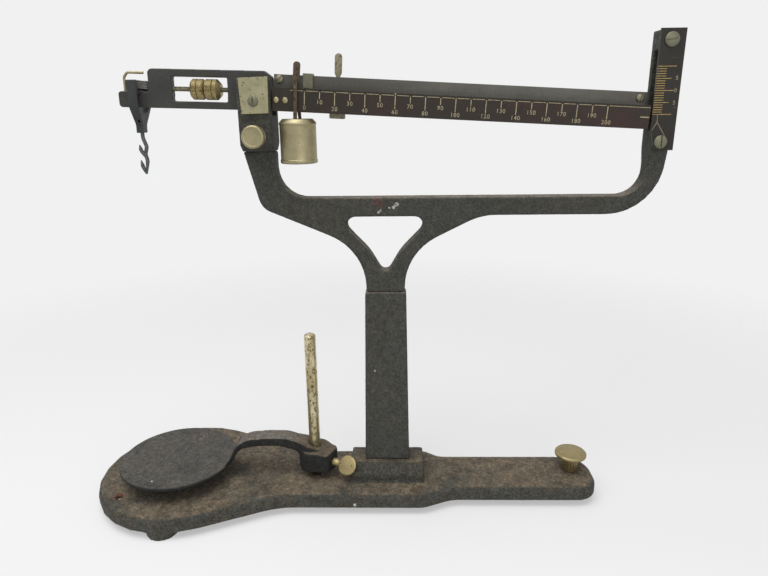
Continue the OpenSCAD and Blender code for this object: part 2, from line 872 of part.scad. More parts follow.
// Grooved seat across the hanger's cheeks, with the vee that rests on the knife edge
module hanger_bearing() {
    color("#8a8a84") on_hanger()
        upright(hanger_t - hanger_y, hanger_y - hanger_t)
            polygon([
                [-2.8, 3.6], [-2.8, -1.3], [-2.4, -1.3], [0, 0.03], [2.4, -1.3], [2.8, -1.3],
                [2.8, -0.6], [2.4, -0.3], [2.8, 0], [2.8, 1], [2.4, 1.3], [2.8, 1.6],
                [2.8, 2.4], [2.4, 2.7], [2.8, 3], [2.8, 3.6]
            ]);
}

// Bent wire in the tongue that reaches over the hanger and keeps it on the knife edge
module keeper_wire() {
    color("#a39f87") on_beam()
        wire(bent([
            [keeper_x, 0, -5.8], [keeper_x, 0, 0.3], [keeper_x - 0.3, 0, 6.4], [-81.4, 0, 9.2],
            [-71.4, 0, 9.4]
        ], 0.9), keeper_r);
}

// Double hook of bent wire, turning in the hanger's block
module hook() {
    color("#4b4c4f") on_hanger() translate([hook_x, 0, 0]) {
        wire(bent([
            [0, 0, -22], [0, 0, -31], [1.8, 0, -36.4], [0.5, 0, -41], [1.3, 0, -45.4], [-0.2, 0, -53.2]
        ], 0.8), hook_r);
        wire([[-3.1, 0, -45.4], [-2.2, 0, -48.9], [-0.3, 0, -53.1]], hook_r);
        wire([[-2.9, 0, -35.7], [-2.1, 0, -38.8], [0.7, 0, -43]], hook_r);
    }
}

// Pin that rests on the front beam's edge and carries the large poise
module poise_pin() {
    color("#77787a") on_poise()
        pin_y(0, 0, pin_r, -11.3, -4.4);
}

// Stirrup of the large poise: two straps that hang on the pin, and a tab to hold
module poise_stirrup() {
    low = poise_top - 2;
    color("#6b5f50") on_poise() difference() {
        union() {
            upright(-11.2, -9.8) {
                polygon([[-2.2, low], [0, low], [1.5, 3], [1.5, 7], [-1.1, 7], [-1.1, -3]]);
                polygon(outline([
                    [0.2, 4, 0.4], [2.9, 4, 0.4], [4, 14.4, 1.8], [-0.2, 14.4, 1.8], [-1.1, 4, 0.4]
                ], 0, 6));
            }
            upright(-5.8, -4.6)
                polygon([[0.4, low], [2.2, low], [1.2, 3], [-1.2, 3], [-1.1, -3]]);
            box([-1.1, 1.3], [-11, -4.6], [1.4, 2.8]);
        }
        pin_y(0, 0, pin_r + fit, -12, -4);
    }
}

// Large poise: a turned weight with straps let into its top and a cavity below
module poise_weight() {
    r = poise_d / 2;
    low = poise_top - poise_h;
    color("#9b9470") on_poise() difference() {
        translate([0, poise_y, 0])
            rotate_extrude()
                polygon([
                    [6, low], [r - 0.5, low], [r, low + 0.5], [r, low + 2.2], [r - 0.3, low + 2.5],
                    [r - 0.3, poise_top - 3.6], [r, poise_top - 3.2], [r - 2.2, poise_top],
                    [0, poise_top], [0, low + 9], [6, low + 9]
                ]);
        box([-2.3, 0.25], [-11.2, -9.8], [poise_top - 2, poise_top + 1]);
        box([0.15, 2.4], [-5.8, -4.6], [poise_top - 2, poise_top + 1]);
    }
}

// Threaded plug that closes the cavity of the large poise
module poise_plug() {
    low = poise_top - poise_h;
    color("#8b7d52") on_poise() translate([0, poise_y, low + 0.4]) difference() {
        cylinder(r = 5.95, h = 4);
        box([-7, 7], [-0.6, 0.6], [-1, 1.2]);
    }
}

// Small rider, a saddle over the top bar
module rider() {
    color("#868a72") on_beam() translate([rider_x, 0, 0]) difference() {
        box([-3.1, 3.1], [top_y[0] - 1.6, top_y[1] + 1.6], [4.7, 13.5]);
        box([-4, 4], [top_y[0] - 0.1, top_y[1] + 0.1], [4, top_z[1] + 0.1]);
    }
}

// Rear poise: a saddle block on the rear beam with a paddle to push it by
module rear_poise() {
    color("#7a7660") on_beam() translate([rear_poise_x, 0, 0]) {
        difference() {
            box([-4.8, 4.8], [4.4, 12.5], [-12.5, 6.8]);
            box([-6, 6], [rear_y[0] - gap, rear_y[1] + gap], [-13, plate_z[1] + 0.2]);
        }
        upright(6.3, 7.8)
            polygon(outline([
                [-1.3, 6, 0.3], [1.3, 6, 0.3], [1.3, 13, 2], [2.3, 15, 2], [2.3, 26.7, 2.2],
                [-2.3, 26.7, 2.2], [-2.3, 15, 2], [-1.3, 13, 2]
            ], 0, 5));
    }
}

// Plate with the zero mark, on the front of the right arm
module reading_plate() {
    color("#2c2b2a") on_stand() difference() {
        upright(-9.6, -8)
            polygon([
                [166, 248.8], [plate_right, 248.6], [plate_right, arm_top], [162.7, arm_top], [162.7, 263]
            ]);
        for (z = [312.2, 253.7])
            pin_y(plate_screw_x, z, 1.8, -12, -6);
    }
}

// Slotted screws of the reading plate
module plate_screws() {
    color("#6f6b5e") on_stand() {
        translate([plate_screw_x, -11.4, 312.2])
            slotted_screw(4.3, 1.8, 1.7, 8, 80);
        translate([plate_screw_x, -11.4, 253.7])
            slotted_screw(4, 1.8, 1.7, 8, 0);
    }
}

base();
column();
column_bolt();
yoke();
yoke_pin();
levelling_screw();
levelling_foot();
rod();
platform();
platform_screw();
fulcrum_fork();
fork_screw();
pivot_bearings();
bearing_covers();
cover_screws();
pivot_knife();
beam_casting();
balance_rod();
balance_nut_outer();
balance_nut_inner();
front_beam();
scale_strip();
top_bar();
rear_beam();
end_block();
beam_rivets();
beam_screws();
hanger_knife();
hanger();
hanger_bearing();
keeper_wire();
hook();
poise_pin();
poise_stirrup();
poise_weight();
poise_plug();
rider();
rear_poise();
reading_plate();
plate_screws();
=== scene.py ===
"""Studio picture of an old cast-iron beam balance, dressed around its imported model."""

import json
import math

import bmesh
import bpy
from mathutils import Matrix, Vector, noise


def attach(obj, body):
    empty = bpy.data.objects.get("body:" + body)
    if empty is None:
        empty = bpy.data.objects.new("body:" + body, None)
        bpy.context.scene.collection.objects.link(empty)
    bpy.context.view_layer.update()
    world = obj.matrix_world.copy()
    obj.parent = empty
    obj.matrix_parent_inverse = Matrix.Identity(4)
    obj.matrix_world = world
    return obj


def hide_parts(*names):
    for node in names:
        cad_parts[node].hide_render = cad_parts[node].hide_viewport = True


bl_info = {
    "name": "Beam balance",
    "version": (1, 0, 0),
    "blender": (4, 5, 0),
    "location": "View3D > Sidebar > Balance",
    "description": "Builds the visible pieces of a cast-iron beam balance and its studio",
    "category": "Object",
}

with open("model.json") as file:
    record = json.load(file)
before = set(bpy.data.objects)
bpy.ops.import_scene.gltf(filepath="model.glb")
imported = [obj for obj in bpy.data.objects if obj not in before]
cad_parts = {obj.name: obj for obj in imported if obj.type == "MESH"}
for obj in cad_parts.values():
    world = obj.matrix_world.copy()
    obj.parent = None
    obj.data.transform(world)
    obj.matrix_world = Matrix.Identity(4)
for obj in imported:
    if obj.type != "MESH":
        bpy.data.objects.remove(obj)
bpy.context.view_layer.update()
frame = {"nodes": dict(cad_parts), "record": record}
BODY_OF = {
    node: body
    for body, nodes in frame["record"]["behaviour"]["bodies"].items()
    for node in nodes
}

MM = 0.001

# Places of the solids that the pieces share, in millimetres
COLUMN_X = 18.15
LINE_Y = -4.0
ROD_X = -35.35
FORK_X = -78.8
PIVOT = Vector((COLUMN_X - 78.0, LINE_Y, 284.5))
FRONT_Y = -9.0
STRIP_Y = FRONT_Y - 0.4
PLATE_Y = -9.6
NUT_Z = 2.1
RIVET_Z = -2.9

# How far the beam hangs at rest, and how far its casting stands off the line of the beams
DROOP = math.radians(3.3)
CASTING_TURN = math.radians(-1.4)


def shift(x, y, z):
    return Matrix.Translation((x, y, z))


FACING_READER = Matrix.Rotation(math.radians(90), 4, "X")
FACING_REAR = Matrix.Rotation(math.radians(-90), 4, "X")
LYING_RIGHT = Matrix.Rotation(math.radians(90), 4, "Y")
ON_STAND = shift(COLUMN_X, LINE_Y, 0)
ON_BEAM = Matrix.Translation(PIVOT) @ Matrix.Rotation(DROOP, 4, "Y")
ON_CASTING = ON_BEAM @ Matrix.Rotation(CASTING_TURN, 4, "Y")
ON_LEVELLING = shift(153.75, LINE_Y + 3, 0)


def on_beam_point(x, z):
    """A point of the beam, level about its knife edge, brought to where it is at rest."""
    return ON_BEAM @ Vector((x, 0, z))


# The hanger's edge and the notch that the large poise hangs in
ON_HANGER = Matrix.Translation(on_beam_point(-75.3, 1.0))
ON_POISE = Matrix.Translation(on_beam_point(24.5, 5.13))


def srgb(red, green, blue):
    """A colour of a picture, 0 to 255, as the linear colour that a shader takes."""
    return tuple(
        c / 12.92 if c <= 0.04045 else ((c + 0.055) / 1.055) ** 2.4
        for c in (red / 255, green / 255, blue / 255)
    )


# ---------------------------------------------------------------- settings


def colour_setting(name, description, default):
    return bpy.props.FloatVectorProperty(
        name=name, description=description, subtype="COLOR", size=3, min=0, max=1, default=default
    )


def length_setting(name, description, millimetres):
    return bpy.props.FloatProperty(
        name=name, description=description, unit="LENGTH", default=millimetres * MM
    )


class CastingSettings(bpy.types.PropertyGroup):
    """Sizes and colours of the castings."""

    base_grain: length_setting("Base grain", "Mesh size of the base casting", 0.95)
    frame_grain: length_setting("Frame grain", "Mesh size of the column and yoke", 0.8)
    fine_grain: length_setting("Fine grain", "Mesh size of the beam's casting", 0.5)
    sand: length_setting("Sand bumps", "Height of the bumps that the mould's sand left", 0.16)
    enamel: colour_setting("Enamel", "Old black-green enamel", srgb(70, 70, 65))
    bare: colour_setting("Bare iron", "Brown iron where the enamel is gone", srgb(118, 106, 88))
    rust: colour_setting("Rust", "Fresh rust in pits and round holes", srgb(112, 62, 36))


class MetalSettings(bpy.types.PropertyGroup):
    """Colours of the metals."""

    nickel: colour_setting("Nickel", "Yellowed nickel plate", srgb(157, 148, 116))
    brass: colour_setting("Brass", "Tarnished brass", srgb(156, 142, 102))
    steel: colour_setting("Steel", "Dull steel", srgb(112, 110, 104))
    rod: colour_setting("Rod", "Plating of the rod", srgb(208, 197, 162))


class MarkSettings(bpy.types.PropertyGroup):
    """Sizes and colours of the marks and numerals."""

    pitch: length_setting("Pitch", "Distance between graduations", 9.2)
    zero: length_setting("Zero", "First graduation, from the knife edge", 30.0)
    numeral: length_setting("Numeral height", "Height of the numerals", 2.5)
    line: length_setting("Line width", "Width of the beam's lines", 0.5)
    cream: colour_setting("Cream", "Paint in the beam's marks", srgb(186, 174, 138))
    gold: colour_setting("Gold", "Paint in the reading plate's marks", srgb(188, 160, 96))


class StageSettings(bpy.types.PropertyGroup):
    """The studio round the balance."""

    floor: colour_setting("Floor", "Colour of the floor", (0.93, 0.93, 0.93))
    backdrop: colour_setting("Backdrop", "Colour behind the balance", (0.88, 0.88, 0.885))
    lift: bpy.props.FloatProperty(
        name="Floor lift",
        description="How far the floor is brought to white in the picture",
        default=0.4,
    )
    sky: bpy.props.FloatProperty(
        name="Fill light", description="Strength of the light from all round", default=0.26
    )
    lamp: bpy.props.FloatProperty(
        name="Lamp", description="Power of the large lamp above", unit="POWER", default=12.5
    )
    lens: bpy.props.FloatProperty(
        name="Lens",
        description="Focal length of the camera",
        subtype="DISTANCE_CAMERA",
        default=28.125,
    )


SETTINGS = {
    "balance_castings": CastingSettings,
    "balance_metals": MetalSettings,
    "balance_marks": MarkSettings,
    "balance_stage": StageSettings,
}


# ---------------------------------------------------------------- shader maths


class Level:
    """A socket of a material that takes part in Python's sums."""

    def __init__(self, nodes, socket):
        self.nodes = nodes
        self.socket = socket

    def reckon(self, operation, first, second):
        return self.nodes.node("ShaderNodeMath", {"operation": operation}, {0: first, 1: second})

    def __add__(self, other):
        return self.reckon("ADD", self, other)

    def __sub__(self, other):
        return self.reckon("SUBTRACT", self, other)

    def __rsub__(self, other):
        return self.reckon("SUBTRACT", other, self)

    def __mul__(self, other):
        return self.reckon("MULTIPLY", self, other)

    def at_least(self, other):
        return self.reckon("MAXIMUM", self, other)

    def at_most(self, other):
        return self.reckon("MINIMUM", self, other)

    __radd__ = __add__
    __rmul__ = __mul__


class Nodes:
    """A node tree, emptied and filled again."""

    def __init__(self, tree):
        self.tree = tree
        self.tree.nodes.clear()

    def node(self, kind, settings=None, inputs=None, output=0):
        node = self.tree.nodes.new(kind)
        for key, value in (settings or {}).items():
            setattr(node, key, value)
        for key, value in (inputs or {}).items():
            if isinstance(value, Level):
                self.tree.links.new(value.socket, node.inputs[key])
            else:
                node.inputs[key].default_value = value
        return Level(self, node.outputs[output])

    def close(self, kind, shader):
        """Joins a shader to the output of the tree."""
        out = self.tree.nodes.new(kind)
        self.tree.links.new(shader.socket, out.inputs["Surface"])

    def seen_in_picture(self):
        """1 for the rays that show the background, also those that metal and glass send on."""
        camera, glossy, through = (
            self.node("ShaderNodeLightPath", output=ray)
            for ray in ("Is Camera Ray", "Is Glossy Ray", "Is Transmission Ray")
        )
        return (camera + glossy + through).at_most(1.0)


class Finish(Nodes):
    """A material and the nodes that make its surface."""

    def __init__(self, name):
        self.material = bpy.data.materials.new(name)
        self.material.use_nodes = True
        super().__init__(self.material.node_tree)
        self.seed = 0.0

    def place(self):
        """Where a point is, on its own object."""
        return self.node("ShaderNodeTexCoord", output="Object")

    def grain(self, size, detail=3.0, stretch=(1, 1, 1)):
        """Noise between 0 and 1, with lumps of about this size in millimetres."""
        self.seed += 3.7
        vector = self.node(
            "ShaderNodeMapping",
            {"vector_type": "POINT"},
            {"Vector": self.place(), "Scale": tuple(s / (size * MM) for s in stretch)},
        )
        return self.node(
            "ShaderNodeTexNoise",
            {"noise_dimensions": "4D"},
            {"Vector": vector, "W": self.seed, "Scale": 1.0, "Detail": detail, "Roughness": 0.6},
        )

    def step(self, value, low, high):
        """0 below low, 1 above high and smooth between."""
        return self.node(
            "ShaderNodeMapRange",
            {"interpolation_type": "SMOOTHSTEP"},
            {"Value": value, "From Min": low, "From Max": high},
        )

    def patches(self, size, low, high, detail=3.0, stretch=(1, 1, 1)):
        return self.step(self.grain(size, detail, stretch), low, high)

    def spot(self, centre, radius, soft=0.3):
        """1 within radius of a point, in millimetres of the rest pose."""
        away = self.node(
            "ShaderNodeVectorMath",
            {"operation": "DISTANCE"},
            {0: self.place(), 1: tuple(c * MM for c in centre)},
            "Value",
        )
        return 1 - self.step(away, radius * (1 - soft) * MM, radius * MM)

    def upward(self):
        """How far a face looks up: 1 on a top, 0 on a side."""
        normal = self.node("ShaderNodeNewGeometry", output="Normal")
        return self.node("ShaderNodeSeparateXYZ", {}, {0: normal}, "Z").at_least(0.0)

    def edges(self, radius):
        """1 where an outer or inner edge is nearer than radius millimetres."""
        rounded = self.node("ShaderNodeBevel", {"samples": 6}, {"Radius": radius * MM})
        normal = self.node("ShaderNodeNewGeometry", output="Normal")
        same = self.node(
            "ShaderNodeVectorMath", {"operation": "DOT_PRODUCT"}, {0: rounded, 1: normal}, "Value"
        )
        return self.step(1 - same, 0.01, 0.12)

    def blend(self, factor, first, second):
        """Mixes two colours; a colour is three numbers or the outcome of another mix."""
        colours = [c if isinstance(c, Level) else (*c, 1.0) for c in (first, second)]
        return self.node(
            "ShaderNodeMix", {"data_type": "RGBA"}, {0: factor, 6: colours[0], 7: colours[1]}, 2
        )

    def dimmed(self, colour, value, low, high):
        """A colour made darker and lighter by a value between 0 and 1."""
        factor = value * (high - low) + low
        colour = colour if isinstance(colour, Level) else (*colour, 1.0)
        grey = self.node("ShaderNodeCombineXYZ", {}, {0: factor, 1: factor, 2: factor})
        return self.node(
            "ShaderNodeMix",
            {"data_type": "RGBA", "blend_type": "MULTIPLY"},
            {0: 1.0, 6: colour, 7: grey},
            2,
        )

    def bump(self, height, distance):
        """Bumps of up to this many millimetres."""
        return self.node(
            "ShaderNodeBump", {}, {"Height": height, "Distance": distance * MM, "Strength": 1.0}
        )

    def shader(self, colour, roughness, metallic=0.0, normal=None, specular=0.5):
        inputs = {
            "Base Color": colour if isinstance(colour, Level) else (*colour, 1.0),
            "Roughness": roughness,
            "Metallic": metallic,
            "Specular IOR Level": specular,
        }
        if normal is not None:
            inputs["Normal"] = normal
        return self.node("ShaderNodeBsdfPrincipled", {}, inputs)

    def surface(self, *values, **named):
        """Ends the material with its shader."""
        self.close("ShaderNodeOutputMaterial", self.shader(*values, **named))
        return self.material


# ---------------------------------------------------------------- finishes

# Marks of wear, each a place at rest and a radius, in millimetres
BASE_CHIPS = (((-4.5, -34.5, 8.1), 1.6), ((40, -25.5, 9), 0.9))
STAND_CHIPS = (
    ((10.2, -11, 100), 1.1),
    ((25.7, -10, 216), 1.9),
    ((14.2, -10, 210.9), 1.2),
    ((23.8, -10, 214.1), 1.3),
    ((21.1, -10, 213.8), 0.8),
    ((15.5, -10, 212.2), 0.9),
)
DISC_CHIPS = (((-144.7, -37.8, 29.5), 1.0),)
HOLE_RUST = ((-170.25, -36, 16), 6)
RED_RUB = ((14.2, -10, 218.3), 5)
DISC_SCRATCH = ((-129.5, 22, 29.5), 8.5)

made = {}


def finish(recipe):
    """Each finish is made once and shared."""
    if recipe not in made:
        made[recipe] = recipe()
    return made[recipe]


def chipped(f, colour, chips):
    """Small pale chips in the enamel; each is a place and a radius in millimetres."""
    ragged = f.patches(0.9, 0.4, 0.5)
    for centre, radius in chips:
        colour = f.blend(f.spot(centre, radius, 0.6) * ragged, colour, srgb(214, 208, 196))
    return colour


def sandy(f, colour, size, contrast, bumps):
    """The sandy skin of a casting, in its colour and its bumps."""
    fine = f.step(f.grain(size, 3), 0.32, 0.68)
    coarse = f.grain(size * 2.8, 3)
    colour = f.dimmed(colour, fine, 1 - contrast, 1 + contrast)
    colour = f.dimmed(colour, f.step(coarse, 0.3, 0.7), 1 - contrast * 0.6, 1 + contrast * 0.6)
    height = fine * 0.7 + coarse * 1.4
    return f.surface(colour, f.grain(6) * 0.2 + 0.64, 0.0, f.bump(height, bumps), 0.3)


def rusty_casting():
    """The base: dark enamel on the sides, brown iron on the worn top, sandy all over."""
    s = bpy.context.scene.balance_castings
    f = Finish("rusty_casting")
    top = f.step(f.upward(), 0.72, 0.99)
    worn = f.step(f.grain(24, 4) + f.grain(4, 3) * 0.6, 0.55, 1.0) * top
    colour = f.blend(f.patches(12, 0.4, 0.7), s.enamel, srgb(76, 72, 62))
    colour = f.blend(worn, colour, s.bare)
    colour = f.blend(f.patches(15, 0.5, 0.72, 4) * 0.6, colour, srgb(74, 66, 54))
    colour = f.blend(f.patches(5, 0.62, 0.74) * top * 0.35, colour, s.rust)
    colour = f.blend(f.spot(*HOLE_RUST, 0.8) * 0.7, colour, srgb(112, 66, 42))
    colour = chipped(f, colour, BASE_CHIPS)
    return sandy(f, colour, 1.5, 0.42, 0.45)


def enamel():
    """Column, yoke and fork: dull enamel with a rough skin, brown where hands wore it."""
    s = bpy.context.scene.balance_castings
    f = Finish("enamel")
    top = f.step(f.upward(), 0.3, 0.95)
    colour = f.blend(f.patches(30, 0.42, 0.68), s.enamel, srgb(74, 73, 66))
    colour = f.blend(top * f.patches(8, 0.2, 0.5) * 0.9, colour, srgb(122, 115, 103))
    colour = f.blend(f.patches(14, 0.6, 0.76) * 0.5, colour, srgb(86, 76, 62))
    red = f.spot(*RED_RUB, 0.5) * f.patches(1.6, 0.48, 0.58, 4)
    colour = f.blend(red * 0.75, colour, srgb(132, 66, 58))
    colour = chipped(f, colour, STAND_CHIPS)
    return sandy(f, colour, 1.4, 0.3, 0.34)


def grey_casting():
    """Platform: worn grey iron on its top, sides near black (partly black enamel, partly painted
    shade), sandy all over.
    """
    f = Finish("grey_casting")
    top = f.step(f.upward(), 0.45, 0.95)
    along = f.node("ShaderNodeSeparateXYZ", {}, {0: f.place()}, "X")
    colour = f.blend(f.patches(16, 0.4, 0.7), srgb(86, 83, 78), srgb(70, 69, 65))
    colour = f.blend(f.step(along, -104 * MM, -84 * MM) * 0.9, colour, srgb(116, 110, 101))
    colour = f.blend(f.step(along, -54 * MM, -40 * MM), colour, srgb(100, 90, 76))
    scratch = f.spot(*DISC_SCRATCH, 0.7) * f.patches(2.6, 0.5, 0.6, 3, (1.4, 0.4, 1))
    colour = f.blend(scratch * 0.7, colour, srgb(134, 116, 106))
    colour = f.blend(f.patches(6, 0.62, 0.74) * 0.35, colour, srgb(104, 84, 66))
    # Sides near black: partly the black enamel left on them, partly painted shade where the light
    # from above does not reach.
    colour = f.blend(1 - top, colour, srgb(38, 38, 36))
    colour = chipped(f, colour, DISC_CHIPS)
    return sandy(f, colour, 1.3, 0.4, 0.4)


def black_casting():
    """Beam casting and end block: black enamel, smoother than the stand's."""
    f = Finish("black_casting")
    colour = f.blend(f.patches(20, 0.35, 0.7), srgb(70, 69, 66), srgb(60, 60, 57))
    colour = f.blend(f.step(f.upward(), 0.4, 0.95) * 0.5, colour, srgb(92, 88, 80))
    colour = f.blend(f.patches(1.4, 0.68, 0.74) * 0.4, colour, srgb(110, 102, 88))
    colour = f.dimmed(colour, f.step(f.grain(0.8, 2), 0.3, 0.7), 0.84, 1.16)
    return f.surface(colour, f.grain(8) * 0.2 + 0.42, 0.0, f.bump(f.grain(2.2, 3), 0.14), 0.3)


def black_plate():
    """Flat plates: lacquer with rubs and fine scratches."""
    f = Finish("black_plate")
    colour = f.blend(f.patches(24, 0.4, 0.7), srgb(42, 39, 34), srgb(54, 50, 43))
    colour = f.blend(f.patches(2.2, 0.66, 0.74, 3, (0.35, 1, 1)) * 0.35, colour, srgb(110, 98, 78))
    colour = f.blend(f.edges(0.35) * f.patches(3, 0.4, 0.55) * 0.7, colour, srgb(120, 108, 86))
    return f.surface(colour, f.grain(6) * 0.2 + 0.36, 0.0, f.bump(f.grain(1.6, 3), 0.05), 0.25)


def strip_enamel():
    """Graduated strip: dark brown lacquer, redder in patches."""
    f = Finish("strip_enamel")
    colour = f.blend(f.patches(22, 0.42, 0.6, 3), srgb(50, 44, 38), srgb(60, 45, 41))
    colour = f.blend(f.patches(7, 0.58, 0.7, 3) * 0.5, colour, srgb(44, 38, 34))
    colour = f.blend(f.patches(1.3, 0.66, 0.72) * 0.5, colour, srgb(126, 108, 88))
    return f.surface(colour, f.grain(5) * 0.2 + 0.4, 0.0, f.bump(f.grain(1.5, 3), 0.04), 0.25)


def plated(name, colour, dark, speck, roughness):
    """Old plating or bare metal: cloudy, with dark specks that are rarer as speck is higher."""
    f = Finish(name)
    body = f.blend(f.patches(7, 0.35, 0.7, 4), colour, tuple(c * 0.78 for c in colour))
    body = f.blend(f.patches(1.7, speck, speck + 0.08, 3), body, dark)
    body = f.blend(f.patches(5, 0.6, 0.8, 4) * 0.5, body, dark)
    body = f.dimmed(body, f.grain(0.7, 2), 0.86, 1.14)
    rough = f.grain(4) * 0.22 + roughness
    height = f.grain(0.8, 3) + f.grain(3, 2)
    return f.surface(body, rough, 0.82, f.bump(height, 0.06))


def nickel():
    colour = bpy.context.scene.balance_metals.nickel[:]
    return plated("nickel", colour, srgb(74, 64, 42), 0.67, 0.3)


def specked_nickel():
    """The cover plates' plating, pitted to brown in many places."""
    return plated("specked_nickel", srgb(160, 155, 124), srgb(88, 70, 52), 0.585, 0.4)


def brass():
    colour = bpy.context.scene.balance_metals.brass[:]
    return plated("old_brass", colour, srgb(84, 68, 34), 0.6, 0.28)


def steel():
    colour = bpy.context.scene.balance_metals.steel[:]
    return plated("dull_steel", colour, srgb(60, 52, 42), 0.6, 0.4)


def dark_steel():
    return plated("dark_steel", srgb(96, 97, 99), srgb(52, 48, 44), 0.58, 0.38)


def blued_steel():
    return plated("blued_steel", srgb(68, 70, 69), srgb(54, 48, 42), 0.6, 0.42)


def stained_steel():
    return plated("stained_steel", srgb(136, 132, 110), srgb(92, 74, 56), 0.56, 0.42)


def brown_steel():
    return plated("brown_steel", srgb(92, 80, 66), srgb(66, 52, 40), 0.52, 0.45)


def dull_plate():
    return plated("dull_plate", srgb(120, 119, 100), srgb(76, 70, 54), 0.62, 0.45)


def pitted_rod():
    """Rod: bright plating pitted through to dark specks."""
    f = Finish("pitted_rod")
    colour = bpy.context.scene.balance_metals.rod[:]
    body = f.blend(f.patches(6, 0.4, 0.65, 4, (1, 1, 0.5)), colour, srgb(172, 158, 120))
    pits = f.patches(1.5, 0.5, 0.6, 3, (1, 1, 0.7))
    body = f.blend(pits * 0.85, body, srgb(92, 80, 50))
    rough = pits * 0.3 + 0.3
    return f.surface(body, rough, 1 - pits * 0.5, f.bump(1 - pits, 0.12))


# The top bar's ruling: where it starts from the knife edge, in metres, and its fine and long
# lines, each as pitch, width and upper end in millimetres of the level beam
RULED_FROM = 0.0312
FINE_RULING = (0.96, 0.22, 7.4)
LONG_RULING = (9.6, 0.3, 9.2)


def ruled_steel():
    """Top bar: dull steel ruled with fine lines all along its front."""
    f = Finish("ruled_steel")
    level = f.node(
        "ShaderNodeMapping",
        {"vector_type": "TEXTURE"},
        {"Vector": f.place(), "Location": PIVOT * MM, "Rotation": (0, DROOP, 0)},
    )
    along = f.node("ShaderNodeSeparateXYZ", {}, {0: level}, "X")
    up = f.node("ShaderNodeSeparateXYZ", {}, {0: level}, "Z")

    def ruled(pitch, width, reach):
        tooth = along.reckon("PINGPONG", along - RULED_FROM, pitch * MM / 2)
        line = 1 - f.step(tooth, width * 0.35 * MM, width * 0.65 * MM)
        return line * (1 - f.step(up, (reach - 0.1) * MM, reach * MM))

    body = f.blend(f.patches(14, 0.35, 0.7, 4, (0.3, 1, 1)), srgb(96, 94, 87), srgb(80, 78, 72))
    body = f.blend(f.patches(2.4, 0.6, 0.7, 3) * 0.4, body, srgb(112, 104, 84))
    lines = ruled(*FINE_RULING).at_least(ruled(*LONG_RULING))
    body = f.blend(lines * 0.55, body, srgb(52, 48, 40))
    return f.surface(body, f.grain(5) * 0.2 + 0.4, 0.55, f.bump(f.grain(1.2, 3), 0.05))


def paint(name, colour):
    """Paint rubbed into a line or numeral, thin in places."""
    f = Finish(name)
    body = f.blend(f.patches(1.6, 0.45, 0.7), colour, tuple(c * 0.55 for c in colour))
    return f.surface(body, 0.6)


def cream_paint():
    return paint("cream_paint", bpy.context.scene.balance_marks.cream[:])


def gold_paint():
    return paint("gold_paint", bpy.context.scene.balance_marks.gold[:])


def pale_wear():
    """Bare metal at the bottom of a scratch."""
    return paint("pale_wear", srgb(158, 146, 120))


# Finish of each solid that is shown as it is
PLAIN_NODES = {
    "column_bolt": dark_steel,
    "yoke_pin": dark_steel,
    "pivot_bearings": steel,
    "pivot_knife": dark_steel,
    "hanger_knife": dark_steel,
    "poise_pin": steel,
    "poise_plug": brass,
    "front_beam": black_plate,
    "rear_beam": black_plate,
    "scale_strip": strip_enamel,
}


# ---------------------------------------------------------------- making pieces


def add_piece(name, mesh, node, look, replaces=()):
    """Puts a finished mesh in the scene, on the body of its node and in the node's place."""
    piece = bpy.data.objects.new(name, mesh)
    bpy.context.scene.collection.objects.link(piece)
    mesh.materials.clear()
    mesh.materials.append(look)
    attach(piece, BODY_OF[node])
    if replaces:
        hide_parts(*replaces)
    return piece


def solid_copy(node):
    """The solid's own shape as one closed mesh with flat faces joined."""
    bm = bmesh.new()
    bm.from_mesh(frame["nodes"][node].data)
    bmesh.ops.remove_doubles(bm, verts=bm.verts, dist=1e-6)
    return bm


def shade(bm, sharp=40.0):
    """Smooth shading, with the edges that turn more than this many degrees left sharp."""
    for face in bm.faces:
        face.smooth = True
    for edge in bm.edges:
        edge.smooth = edge.calc_face_angle(0.0) < math.radians(sharp)


def to_mesh(bm, name, scale=1.0):
    """Closes the work on a bmesh; scale brings millimetres to metres."""
    if scale != 1.0:
        bmesh.ops.scale(bm, vec=(scale,) * 3, verts=bm.verts)
    mesh = bpy.data.meshes.new(name)
    bm.to_mesh(mesh)
    bm.free()
    return mesh


def evaluated(name, data, modifiers=()):
    """The mesh that data comes to with modifiers, each given as a type and its settings."""
    work = bpy.data.objects.new(name, data)
    bpy.context.scene.collection.objects.link(work)
    for kind, settings in modifiers:
        modifier = work.modifiers.new(kind, kind)
        for key, value in settings.items():
            setattr(modifier, key, value)
    bpy.context.view_layer.update()
    finished = work.evaluated_get(bpy.context.evaluated_depsgraph_get())
    mesh = bpy.data.meshes.new_from_object(finished)
    bpy.data.objects.remove(work)
    mesh.name = name
    return mesh


def casting(node, grain, rounds, sand, look, seed):
    """A casting: the solid's shape with its edges worn round and the bumps of the sand, which
    sink more than they rise so that the casting stays in its box."""
    mesh = to_mesh(solid_copy(node), node + "_solid")
    mesh = evaluated(
        node + "_casting",
        mesh,
        [
            ("REMESH", {"mode": "VOXEL", "voxel_size": grain, "use_smooth_shade": True}),
            ("SMOOTH", {"factor": 0.5, "iterations": rounds}),
        ],
    )
    offset = Vector((seed * 13.1, seed * 7.7, seed * 3.3))
    normals = [vertex.normal.copy() for vertex in mesh.vertices]
    for vertex, normal in zip(mesh.vertices, normals):
        p = vertex.co / MM
        bumps = noise.noise(p * 0.45 + offset) + 0.6 * noise.noise(p * 0.16 + offset)
        vertex.co += normal * sand * (bumps - 0.9) * 0.5
    mesh.polygons.foreach_set("use_smooth", [True] * len(mesh.polygons))
    mesh.update()
    return add_piece(node + "_casting", mesh, node, look, (node,))


